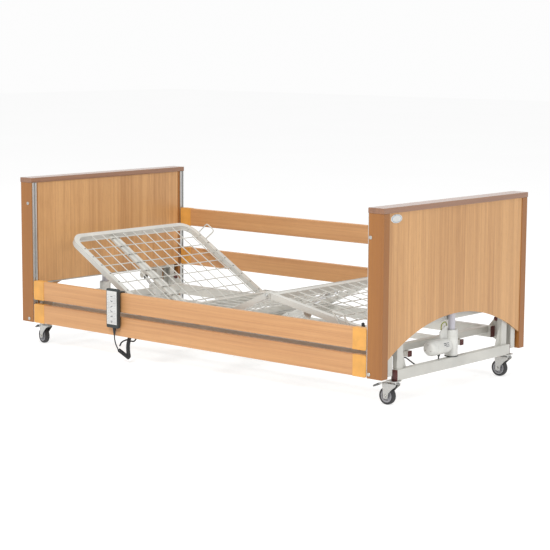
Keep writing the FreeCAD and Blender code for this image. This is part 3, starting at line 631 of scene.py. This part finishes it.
# ---- lift actuators ----
def type_plate(piece, motor_at, can):
    """Curved plate on the motor can's outer side with plain bars in place of print."""

    def patch(along, around, out):
        """Curved sheet that follows the can between two distances and two angles."""
        strips = []
        for step in range(7):
            angle = radians(around[0] + (around[1] - around[0]) * step / 6)
            ring = []
            near, far = along
            for distance, radius in ((near, can), (near, can + out), (far, can + out), (far, can)):
                offset = Vector((radius * cos(angle), -distance, radius * sin(angle)))
                ring.append(motor_at + offset)
            strips.append(ring)
        piece.skin(strips)

    piece.use("white_plastic")
    patch((0.026, 0.068), (-2, 40), 0.0003)
    piece.use("print_ink")
    bars = (
        (0.029, 0.044, 28, 33), (0.047, 0.064, 27, 33), (0.029, 0.039, 17, 21), (0.043, 0.064, 15, 21),
        (0.029, 0.052, 5, 9),
    )
    for start, end, low, high in bars:
        patch((start, end), (low, high), 0.0005)


def lift_actuator(end_name, end):
    """Upright gear housing with a collared tube and a motor can lying along -Y."""
    node = f"{end_name}_lift_actuator"
    low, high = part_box(node)
    housing = 0.028
    bore = 0.0103
    neck = 0.1135
    x = end * (max(abs(low.x), abs(high.x)) - housing)
    floor = low.z
    piece = Piece(f"{end_name}_lift_motor", "pale_plastic")
    body = [
        (0.0, 0.0), (0.024, 0.0), (0.0268, 0.003), (housing, 0.008), (housing, 0.0855),
        (0.0269, 0.0865), (0.0269, 0.0885), (housing, 0.0895), (housing, 0.112), (0.0268, 0.1148),
        (0.0245, 0.116), (0.0172, 0.116), (0.0166, neck), (bore, neck), (bore, 0.034), (0.0, 0.034),
    ]
    piece.lathe((x, 0, floor), UP, body, 48)
    piece.use("dark_plastic")
    seal = [(0.0235, 0.0), (0.0286, 0.0), (0.0286, 0.0035), (0.0235, 0.0035)]
    piece.lathe((x, 0, floor), UP, seal, 48, closed=True)
    piece.use("tube_plastic")
    tube_top = high.z - 0.0002
    tube_radius = 0.0152
    tube = [
        (bore, floor + neck), (tube_radius, floor + neck), (tube_radius, tube_top - 0.018),
        (0.0166, tube_top - 0.0165), (0.0166, tube_top - 0.002), (tube_radius, tube_top), (bore, tube_top),
    ]
    piece.lathe((x, 0, 0), UP, tube, 36, closed=True)
    piece.use("pale_plastic")
    can = 0.033
    length = -low.y - 0.026
    motor = [
        (0.0, -0.004), (0.0262, -0.004), (0.0275, 0.001), (can - 0.001, 0.014), (can - 0.001, 0.0205),
        (can - 0.0022, 0.0212), (can - 0.0022, 0.0228), (can, 0.0235), (can, length - 0.0335),
        (can - 0.0011, length - 0.0328), (can - 0.0011, length - 0.0312), (can, length - 0.0305),
        (can - 0.0004, length - 0.02), (can - 0.0024, length - 0.0105), (can - 0.0066, length - 0.0038),
        (can - 0.0125, length - 0.0008), (0.0, length),
    ]
    motor_at = Vector((end * (abs(x) - 0.003), -0.026, floor + 0.0504))
    piece.lathe(motor_at, -TO_FAR, motor, 48)
    type_plate(piece, motor_at, can)
    ring = 0.0165
    piece.use("zinc")
    for step in range(3):
        angle = radians(90 + 120 * step)
        head = motor_at + Vector((ring * cos(angle), -length + 0.0006, ring * sin(angle)))
        bolt_head(piece, head, -TO_FAR, 0.0022, 0.0016)
    piece.use("pale_plastic")
    ring = 0.0215
    for step in range(4):
        angle = radians(45 + 90 * step)
        screw = Vector((x + ring * cos(angle), ring * sin(angle), floor + 0.1158))
        bolt_head(piece, screw, UP, 0.0022, 0.002)
    piece.use("dark_plastic")
    gland = motor_at + Vector((0, -0.06, -can + 0.001))
    cable_gland(piece, gland, -UP, (0.0062, 0.0058, 0.0042), 16)
    piece.done(f"{end_name}_base", "pale_plastic", node)
    return gland - UP * 0.008


glands = {end_name: lift_actuator(end_name, end) for end_name, end in ENDS}


# ---- deck actuators ----
def deck_actuator(name):
    """Push actuator between its tail pin and the rod, with its motor beside it."""
    pivot = joint_place(f"{name}_actuator_swing")
    run = Vector(joints[f"{name}_actuator_push"]["axis"]).normalized()
    local = Matrix((run, TO_FAR, run.cross(TO_FAR))).transposed().to_4x4()
    piece = Piece(f"{name}_actuator_housing", "pale_plastic")
    piece.place = Matrix.Translation(pivot) @ local
    half = 0.0238
    seam = 0.0228
    case_end = 0.105
    piece.box((0.0225, -half, -half), (0.062, half, half), 0.006, 4)
    piece.box((0.0628, -half, -half), (case_end, half, half), 0.006, 4)
    piece.box((0.03, -seam, -seam), (0.098, seam, seam), 0.004, 2)
    piece.box((0.026, 0.0, -0.0205), (0.052, 0.064, 0.0205), 0.007, 4)
    tail = [(-0.012, -0.012), (0.024, -0.009), (0.024, 0.009), (-0.012, 0.012)]
    piece.plate(rounded(tail, 0.0095, 6), 0.018, 0.0, 0.001)
    can = 0.021
    motor = [
        (0.0, 0.048), (can - 0.0012, 0.0485), (can, 0.0505), (can, 0.135), (can - 0.001, 0.1356),
        (can - 0.001, 0.1374), (can, 0.138), (can, 0.146), (can - 0.003, 0.1508), (0.0, 0.152),
    ]
    piece.lathe((0, 0.044, 0), TO_FOOT, motor, 40)
    tube = [
        (0.0083, 0.1), (0.017, 0.1), (0.017, 0.2425), (0.0185, 0.2435), (0.0185, 0.256),
        (0.0172, 0.2595), (0.0083, 0.2595),
    ]
    piece.lathe((0, 0, 0), TO_FOOT, tube, 36, closed=True)
    piece.use("zinc")
    corner = 0.017
    for y in (-corner, corner):
        for z in (-corner, corner):
            bolt_head(piece, Vector((case_end, y, z)), TO_FOOT, 0.0022, 0.002)
    piece.use("dark_plastic")
    gland = Vector((0.04, 0.05, 0.0195 if name == "back" else -0.0195))
    out = UP if gland.z > 0 else -UP
    cable_gland(piece, gland, out, (0.0055, 0.005, 0.0035), 14)
    place = piece.place.copy()
    piece.done(f"{name}_actuator_body", "pale_plastic", f"{name}_actuator")
    return place @ (gland + out * 0.008)


deck_glands = {name: deck_actuator(name) for name in ("back", "knee")}


def rod_end(name, material):
    """Sleeve and locking collar that hold the rod's eye."""
    low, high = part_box(f"{name}_actuator_rod")
    run = Vector(joints[f"{name}_actuator_push"]["axis"]).normalized()
    eye = 0.011
    tip = Vector((low.x + eye if run.x < 0 else high.x - eye, (low.y + high.y) / 2, high.z - eye))
    piece = Piece(f"{name}_rod_end", material)
    start = -0.046 if name == "knee" else -0.0205
    end = -0.0125
    wide = 0.0108
    sleeve = [(0.0, start), (0.0096, start), (wide, start + 0.002)]
    sleeve += [(wide, end - 0.0035), (0.009, end), (0.0, end)]
    piece.lathe(tip, run, sleeve, 28)
    if name == "knee":
        piece.lathe(tip, run, rod(0.0118, -0.053, -0.0475), 6)
    piece.done(f"{name}_actuator_ram", slots[f"{name}_actuator_rod"])


rod_end("back", "dark_plastic")
rod_end("knee", "zinc")


# ---- control box and cables ----
def control_box():
    """Lidded box with a seam, corner screws and a row of cable sockets on each end."""
    low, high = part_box("control_box")
    piece = Piece("control_box_shell", "pale_plastic")
    seam = low.z + 0.6 * (high.z - low.z)
    gap = 0.0006
    inset = Vector((0.002, 0.002, 0.004))
    piece.box(low, (high.x, high.y, seam - gap), 0.006, 4)
    piece.box((low.x, low.y, seam + gap), high, 0.006, 4)
    piece.box(low + inset, high - inset, 0.003, 2)
    piece.use("dark_plastic")
    sockets = []
    socket_profile = [(0.0, -0.001), (0.0085, -0.001), (0.0085, 0.003), (0.006, 0.005), (0.0, 0.005)]
    for end, x in ((-1, low.x), (1, high.x)):
        for step in range(3):
            at = Vector((x, -0.04 + 0.04 * step, low.z + 0.014))
            piece.lathe(at, TO_FOOT * end, socket_profile, 18)
            sockets.append(at + TO_FOOT * end * 0.004)
    piece.use("zinc")
    corner = 0.012
    for x in (low.x + corner, high.x - corner):
        for y in (low.y + corner, high.y - corner):
            bolt_head(piece, Vector((x, y, low.z)), -UP, 0.003, 0.0018)
    piece.done("platform", "pale_plastic", "control_box")
    return sockets


def cable(name, points, body, radius=0.003):
    """Flexible lead through the given points; body None leaves it on no body."""
    piece = Piece(name, "cord_rubber")
    piece.tube(smooth_path(points, 10), radius, 10)
    return piece.done(body, "cord_rubber")


sockets = control_box()


def deck_cable(name, socket):
    """Lead from the control box to a deck actuator, which swings a little."""
    end = deck_glands[name]
    drop = Vector(((socket.x + end.x) / 2, (socket.y + end.y) / 2, min(socket.z, end.z) - 0.035))
    out = Vector((0.02 if socket.x > -0.14 else -0.02, 0, 0))
    points = [socket, socket + out, drop, end + Vector((0, 0.01, -0.012)), end]
    made = cable(f"{name}_actuator_cable", points, None, 0.0026)
    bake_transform(made)


deck_cable("back", sockets[1])
deck_cable("knee", sockets[4])


def lift_cable(end_name, end, socket):
    """Lead that runs along an inner frame tube, then hangs in a loop to the lift motor."""
    gland = glands[end_name]
    frame_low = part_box("lower_frame")[0]
    run_y = -0.17
    run_z = frame_low.z + 0.019
    turn = Vector((end * (abs(gland.x) - 0.11), run_y, run_z))
    leave = socket + Vector((end * 0.02, -0.01, 0.0))
    start = [socket, leave, Vector((socket.x + end * 0.09, run_y, run_z)), turn]
    cable(f"{end_name}_lift_cable_fixed", start, "platform")
    loop = [
        turn,
        turn + Vector((end * 0.045, 0.02, -0.03)),
        gland + Vector((-end * 0.035, -0.04, -0.028)),
        gland + Vector((-end * 0.004, -0.006, -0.022)),
        gland,
    ]
    loose = cable(f"{end_name}_lift_cable_loose", loop, None)
    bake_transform(loose)


lift_cable("foot", 1, sockets[3])
lift_cable("head", -1, sockets[0])


# ---- hinge fasteners ----
def fasteners():
    """Nuts on the deck's hinge pins and on the actuator pins."""
    lies_out = 0.4382
    for name, joint, body in (
        ("back_hinge", "backrest_raise", "platform"),
        ("thigh_hinge", "thigh_raise", "platform"),
        ("knee_hinge", "calf_bend", "thigh"),
    ):
        piece = Piece(f"{name}_bolts", "zinc")
        pivot = joint_place(joint)
        for side in (-1, 1):
            at = Vector((pivot.x, side * lies_out, pivot.z))
            hex_nut(piece, at, Vector((0, side, 0)), 0.0085, 0.005)
        piece.done(body, "zinc")
    piece = Piece("actuator_pin_nuts", "zinc")
    for name in ("back", "knee"):
        pivot = joint_place(f"{name}_actuator_swing")
        for side in (-1, 1):
            hex_nut(piece, pivot + Vector((0, side * 0.018, 0)), Vector((0, side, 0)), 0.008, 0.005)
    piece.done("platform", "zinc")


fasteners()


# ---- handset ----
key_names = [f"handset_key_{row}" for row in range(1, 7)]
key_boxes = [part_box(name) for name in key_names]
key_middle = (key_boxes[0][0].x + key_boxes[0][1].x) / 2
key_half_width = (key_boxes[0][1].x - key_boxes[0][0].x) / 2
key_half_height = 0.008
case_low, case_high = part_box("handset_case")
case_front = case_low.y

# strokes of each row's generic bed sign, as (x, z) steps from the key's middle
sign_step_x = 0.00096
sign_step_z = 0.00156
signs = [
    [((-6, -1), (6, -1)), ((-3, -4), (3, -4))],
    [((-7, -2), (0, -2)), ((0, -2), (4, 1)), ((4, 1), (7, -2))],
    [((-7, 3), (-2, -2)), ((-2, -2), (7, -2))],
    [((-7, -3), (7, 1))],
    [((-7, 3), (-2, -1)), ((-2, -1), (2, -1)), ((2, -1), (4, 2)), ((4, 2), (7, -1))],
    [((-7, 0), (7, 0))],
]


def stroke(piece, start, end, y, width=0.0028):
    """Flat printed line between two (x, z) points on the handset's face."""
    start, end = Vector(start), Vector(end)
    run = (end - start).normalized()
    across = Vector((-run.y, run.x)) * width / 2
    corners = [start - across, end - across, end + across, start + across]
    piece.plate([tuple(corner) for corner in corners], 0.0002, y, 0.00004)


def rocker(row):
    """Rocker key with raised ends, an arrow on each end and a bed sign between them."""
    low, high = key_boxes[row]
    z = (low.z + high.z) / 2
    piece = Piece(f"{key_names[row]}_cap", "key_rubber")
    rings = []
    steps = 16
    for step in range(steps + 1):
        share = 2 * step / steps - 1
        x = key_middle + share * key_half_width
        squeeze = 1 - 0.14 * abs(share) ** 8
        front = low.y + 0.0007 * (1 - share * share) + 0.0006 * abs(share) ** 12
        h = key_half_height * squeeze
        section = rounded([(front, z - h), (high.y, z - h), (high.y, z + h), (front, z + h)], 0.0012, 3)
        rings.append([Vector((x, y, height)) for y, height in section])
    piece.skin(rings)
    piece.use("arrow_ink")
    for face in (-1, 1):
        x = key_middle + face * 0.0188
        tip = z - face * 0.0024
        base = z + face * 0.0018
        arrow = [(x - 0.0026, base), (x + 0.0026, base), (x, tip)]
        piece.plate(arrow, 0.0003, low.y + 0.00032, 0.00005)
    piece.use("print_ink")
    for ends in signs[row]:
        start, end = [(key_middle + sign_step_x * x, z + sign_step_z * up) for x, up in ends]
        stroke(piece, start, end, low.y + 0.00062)
    piece.done(f"{key_names[row]}_rocker", "key_rubber", key_names[row])


for row in range(len(key_names)):
    rocker(row)


def handset_label():
    """Thin white face sheet with a window for each key, and a raised rim round it."""
    piece = Piece("handset_label", "white_plastic")
    gap_x = key_half_width + 0.0003
    gap_z = key_half_height + 0.0003
    bottom = case_low.z + 0.016
    top = case_high.z - 0.009
    rows = [(low.z + high.z) / 2 for low, high in key_boxes]
    left = key_middle - 0.032
    right = key_middle + 0.0352
    cuts_x = [left, key_middle - gap_x, key_middle + gap_x, right]
    cuts_z = [bottom]
    for z in rows:
        cuts_z += [z - gap_z, z + gap_z]
    cuts_z.append(top)
    part = bmesh.new()
    grid = [[part.verts.new((x, case_front, z)) for x in cuts_x] for z in cuts_z]
    for i in range(len(cuts_z) - 1):
        for j in range(len(cuts_x) - 1):
            is_window = j == 1 and i % 2 == 1
            if not is_window:
                part.faces.new((grid[i][j], grid[i][j + 1], grid[i + 1][j + 1], grid[i + 1][j]))
    grown = bmesh.ops.extrude_face_region(part, geom=part.faces[:])["geom"]
    front = [item for item in grown if isinstance(item, bmesh.types.BMVert)]
    bmesh.ops.translate(part, verts=front, vec=(0, -0.0004, 0))
    piece.absorb(part)
    piece.use("dark_plastic")
    rim = [(right, bottom), (right, top), (left, top), (left, bottom)]
    loop = [Vector((x, case_front - 0.0002, z)) for x, z in rim]
    for start, end in zip(loop, loop[1:] + loop[:1]):
        piece.tube([start, end], 0.0011, 8)
    piece.done("handset", "white_plastic")


handset_label()


# ---- handset cord ----
lead_low, lead_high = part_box("handset_lead")
boot_top = Vector((lead_low.x + 0.0045, (lead_low.y + lead_high.y) / 2, lead_high.z))
boot_length = 0.035
coil_radius = 0.0072
coil_pitch = 0.0052
cord_radius = 0.0025
cord_points = [
    Vector((-0.4245, -0.5305, 0.064)), Vector((-0.396, -0.52, 0.044)), Vector((-0.373, -0.508, 0.025)),
    Vector((-0.388, -0.5, 0.05)), Vector((-0.401, -0.488, 0.082)), Vector((-0.403, -0.476, 0.118)),
    Vector((-0.404, -0.466, 0.165)),
]


def handset_lead():
    """Ribbed boot under the handset and the thin lead down to the coil."""
    piece = Piece("handset_lead_boot", "cord_rubber")
    profile = [(0.0, 0.004), (0.0086, 0.004), (0.0086, 0.0)]
    ribs = 7
    rib_pitch = boot_length / ribs
    for step in range(ribs):
        radius = 0.0083 - 0.0044 * step / ribs
        low = -rib_pitch * step
        profile += [(radius, low - 0.0006), (radius, low - 0.0032)]
        profile += [(radius - 0.0012, low - 0.0038), (radius - 0.0012, low - 0.0047)]
    profile += [(0.003, -boot_length), (0.0, -boot_length)]
    piece.lathe(boot_top, UP, profile, 20)
    start = boot_top - UP * (boot_length - 0.002)
    bend = [start, start + Vector((0.001, 0, -0.02)), Vector((-0.4345, -0.5345, 0.087)), cord_points[0]]
    piece.tube(smooth_path(bend, 8), 0.0028, 10)
    piece.done("handset", "cord_rubber", "handset_lead")


def cord_part(name, points, bodies, ends, *replaced):
    """Part of the coiled cord round the given points; the bodies and ends are not used."""
    piece = Piece(name, "cord_rubber")
    path = smooth_path(points, 14)
    free = name.endswith("lower")
    piece.tube(coil(path, coil_radius, coil_pitch, far_end_free=free), cord_radius, 8)
    made = piece.done(None, "cord_rubber", *replaced)
    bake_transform(made)


handset_lead()
lower_ends = (cord_points[0], cord_points[2])
upper_ends = (cord_points[2], cord_points[-1])
cord_part("cord_coil_lower", cord_points[:3], ("handset", "near_upper_rail"), lower_ends, "coiled_cord")
cord_part("cord_coil_upper", cord_points[2:], ("near_upper_rail", "platform"), upper_ends)
tail_points = [
    (-0.481, -0.465, 0.064), (-0.466, -0.465, 0.084), (-0.432, -0.465, 0.099), (-0.406, -0.465, 0.096),
    (-0.386, -0.465, 0.098), (-0.373, -0.463, 0.112), (-0.367, -0.454, 0.14), (-0.366, -0.447, 0.172),
]
cable("cord_tail", tail_points, "platform", 0.0036)


# ---- badge and small fittings ----
def oval_badge():
    """Blank oval plate with a rolled rim and a plain coloured line inside it."""
    low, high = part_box("blank_badge")
    middle = (low + high) / 2
    piece = Piece("oval_badge", "white_plastic")
    half_y = (high.y - low.y) / 2
    half_z = (high.z - low.z) / 2

    def oval(share, out):
        ring = []
        for angle in turns(48):
            y = middle.y + share * half_y * cos(angle)
            ring.append(Vector((low.x + out, y, middle.z + share * half_z * sin(angle))))
        return ring

    rim = [oval(1.0, 0.0), oval(1.0, 0.0012), oval(0.97, 0.002), oval(0.93, 0.0022)]
    piece.skin(rim + [oval(0.89, 0.0016), oval(0.4, 0.0021)])
    piece.use("badge_line")
    line = [oval(0.82, 0.0014), oval(0.82, 0.0021), oval(0.77, 0.0022), oval(0.77, 0.0014)]
    piece.skin(line, closed=True)
    piece.done("platform", "white_plastic", "blank_badge")


oval_badge()


def button_caps(side):
    """Release buttons with a dished face, under the rail's moulded ends."""
    node = f"{side}_release_buttons"
    low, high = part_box(node)
    radius = (high.y - low.y) / 2
    y = (low.y + high.y) / 2
    piece = Piece(f"{side}_release_caps", "maroon_plastic")
    for end in (-1, 1):
        x = end * (high.x - radius)
        dish = [
            (0.0, 0.001), (0.6 * radius, 0.0004), (0.86 * radius, 0.0), (0.97 * radius, 0.0006),
            (radius, 0.002), (radius, high.z - low.z), (0.0, high.z - low.z),
        ]
        piece.lathe((x, y, low.z), UP, dish, 28)
    piece.done(f"{side}_release", slots[node], node)


for side in SIDES:
    button_caps(side)


def rubber_stub():
    """Black buffer that stands on the calf frame's near tube."""
    at = Vector((0.933, -0.436, 0.316))
    piece = Piece("calf_buffer", "cord_rubber")
    profile = [
        (0.0, -0.006), (0.007, -0.006), (0.0082, -0.004), (0.0082, 0.002), (0.0068, 0.004),
        (0.0068, 0.012), (0.005, 0.0148), (0.0, 0.0155),
    ]
    piece.lathe(at, Vector((-0.18, 0, 0.98)), profile, 20)
    piece.done("calf", "cord_rubber")


rubber_stub()


# ---- backrest details ----
back_angle = radians(30.5)
back_pivot = joint_place("backrest_raise")
back_half_width = 0.414
wire_pitch = 0.067


def back_place():
    """Local frame of the backrest: origin at its hinge, -X up along it, +Z out of its face."""
    return Matrix.Translation(back_pivot) @ Matrix.Rotation(back_angle, 4, "Y")


def back_weld_shade():
    """Small weld marks where the cross wires meet the frame tubes and the spine, coloured dark as painted shade of
    the wire crossings and wire ends.
    """
    piece = Piece("backrest_weld_marks", "weld_mark")
    piece.place = back_place()
    first = -0.55
    low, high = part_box("back_actuator_rod")
    spine_y = (low.y + high.y) / 2
    spread = 0.0215
    # each mark is a dark disc of painted shade; the short dark tubes at the frame tubes are painted shade at the
    # wire ends
    shade_disc = [(0.0, 0.0), (0.0036, 0.0), (0.003, 0.0009), (0.0, 0.0012)]
    for step in range(9):
        x = first + wire_pitch * step
        shade_spots = [(spine_y - spread, -0.0006, 0), (spine_y + spread, -0.0006, 0)]
        if step > 0:
            shade_spots += [(side * (back_half_width - 0.018), 0.0124, side) for side in (-1, 1)]
        for y, z, side in shade_spots:
            piece.lathe((x, y, z), UP, shade_disc, 12)
            if side:
                start, end = Vector((x, y, 0.0126)), Vector((x + 0.001, y + side * 0.007, 0.0126))
                piece.tube([start, start.lerp(end, 0.5), end], 0.0014, 6)
    piece.done("backrest", "grey_steel")


back_weld_shade()


def mattress_hoop():
    """Bent wire hoop on the backrest's far tube that keeps the mattress in place."""
    piece = Piece("mattress_hoop", "grey_steel")
    piece.place = back_place()
    y = back_half_width + 0.0041
    steps = 6
    corners = [(-0.518, -0.008), (-0.487, 0.078), (-0.426, 0.078), (-0.461, -0.008)]
    outline = rounded([Vector(corner) for corner in corners], 0.013, steps)
    bend = outline[steps + 1 : 3 * (steps + 1)]
    path = [Vector(corners[0])] + bend + [Vector(corners[3])]
    piece.tube([Vector((point.x, y, point.y)) for point in path], 0.0031, 10)
    foot = [(0.0, 0.0), (0.0062, 0.0), (0.0062, 0.006), (0.005, 0.008), (0.0, 0.008)]
    for x, z in (corners[0], corners[3]):
        piece.lathe((x, y - 0.004, z), TO_FAR, foot, 16)
    piece.done("backrest", "grey_steel", "back_retainer")


mattress_hoop()


# ---- foot end leads ----
def foot_end_leads():
    """Earth lead, cable guard and thin control leads that are clipped to the foot base."""
    piece = Piece("foot_earth_lead", "earth_wire")
    points = [
        (1.046, -0.041, 0.246), (1.041, -0.037, 0.277), (1.04, -0.024, 0.291), (1.041, -0.003, 0.292),
        (1.046, 0.0, 0.266),
    ]
    piece.tube(smooth_path(points, 6), 0.0022, 8)
    piece.done("foot_base", "cord_rubber")
    piece = Piece("foot_cable_guard", "pale_plastic")
    piece.place = Matrix.Translation((1.0665, 0, 0)) @ Matrix.Rotation(pi / 2, 4, "Z")
    guard = [(-0.026, 0.228), (-0.03, 0.283), (-0.041, 0.286), (-0.084, 0.262), (-0.078, 0.231)]
    piece.plate(rounded(guard, 0.004, 4), 0.0035, 0.0, 0.0008)
    piece.done("foot_base", "pale_plastic")
    piece = Piece("foot_control_leads", "cord_rubber")
    for step in range(3):
        top = Vector((1.046, -0.341 + 0.004 * step, 0.2225))
        foot = Vector((1.046, -0.344 + 0.017 * step, 0.148))
        middle = top.lerp(foot, 0.5) + Vector((0.004, -0.004 + 0.003 * step, 0))
        piece.tube(smooth_path([top, middle, foot], 8), 0.0017, 8)
    wave = []
    for step in range(7):
        wave.append((1.038 + 0.0042 * step, 0.4 + 0.003 * sin(2.2 * step), 0.232 - 0.0125 * step))
    piece.tube(smooth_path(wave, 6), 0.0015, 8)
    piece.done("foot_base", "cord_rubber")


foot_end_leads()

# ---- carried-over CAD nodes ----
for name, node in frame["nodes"].items():
    paint(node, materials[slots[name]])
for name, width in (
    ("cap_rails", 0.0022),
    ("end_posts", 0.0012),
    ("end_panels", 0.0008),
    ("end_frames", 0.0008),
    ("foot_base_frame", 0.001),
    ("head_base_frame", 0.001),
    ("handset_case", 0.0008),
):
    soften(frame["nodes"][name], width)
for side in SIDES:
    for level in ("upper", "lower"):
        soften(frame["nodes"][f"{side}_{level}_rail_ends"], 0.0025)


# ---- stage ----
backdrop_strength = 0.98
room_strength = 0.6
floor_glow = 0.62


def stage():
    """Pale floor and soft studio light."""
    scene = bpy.context.scene
    scene.view_settings.view_transform = "Standard"
    reach = 30.0
    data = bpy.data.meshes.new("floor")
    corners = [(-reach, -reach, 0), (reach, -reach, 0), (reach, reach, 0), (-reach, reach, 0)]
    data.from_pydata(corners, [], [(0, 1, 2, 3)])
    floor = bpy.data.objects.new("floor", data)
    scene.collection.objects.link(floor)
    shader = Shader("floor_paper")
    paper = shader.noise([0.6] * 3, 2.0)
    tint = shader.mix(paper, rgb(196, 196, 196), rgb(200, 200, 200))
    shader.feed(shader.surface.inputs["Emission Color"], (1.0, 1.0, 1.0, 1.0))
    shader.feed(shader.surface.inputs["Emission Strength"], floor_glow)
    shader.feed(shader.surface.inputs["Specular IOR Level"], 0.0)
    data.materials.append(shader.finish(tint, 0.9, paper, 0.0001))

    world = bpy.data.worlds.new("studio")
    scene.world = world
    world.use_nodes = True
    tree = world.node_tree
    background = tree.nodes["Background"]
    background.inputs["Color"].default_value = (1.0, 1.0, 1.0, 1.0)
    path = tree.nodes.new("ShaderNodeLightPath")
    strength = tree.nodes.new("ShaderNodeMapRange")
    strength.inputs["To Min"].default_value = backdrop_strength
    strength.inputs["To Max"].default_value = room_strength
    tree.links.new(path.outputs["Is Diffuse Ray"], strength.inputs["Value"])
    tree.links.new(strength.outputs[0], background.inputs["Strength"])

    for name, place, size, power in (
        ("key", (2.4, -6.4, 5.6), 2.0, 340.0),
        ("fill", (15.0, -2.6, 6.4), 5.0, 370.0),
        ("top", (-0.5, 0.4, 5.2), 2.6, 75.0),
    ):
        light = bpy.data.lights.new(name, "AREA")
        light.size = size
        light.energy = power
        lamp = bpy.data.objects.new(name, light)
        lamp.location = place
        lamp.rotation_mode = "QUATERNION"
        lamp.rotation_quaternion = (Vector((0, 0, 0.35)) - Vector(place)).to_track_quat("-Z", "Y")
        scene.collection.objects.link(lamp)


def photo_camera():
    """Long lens, looking down a little at the foot end's near corner."""
    place = (5.24118, -5.95398, 1.49201)
    azimuth = radians(40.97)
    elevation = radians(7.86)
    roll = radians(0.33)
    data = bpy.data.cameras.new("camera")
    data.sensor_width = 36.0
    data.lens = 112.6
    data.clip_end = 200.0
    camera = bpy.data.objects.new("camera", data)
    level = cos(elevation)
    forward = Vector((-sin(azimuth) * level, cos(azimuth) * level, -sin(elevation)))
    right = Vector((cos(azimuth), sin(azimuth), 0))
    up = right.cross(forward)
    across = right * cos(roll) + up * sin(roll)
    upward = up * cos(roll) - right * sin(roll)
    turn = Matrix((across, upward, -forward)).transposed().to_4x4()
    camera.matrix_world = Matrix.Translation(place) @ turn
    bpy.context.scene.collection.objects.link(camera)
    bpy.context.scene.camera = camera


stage()
photo_camera()
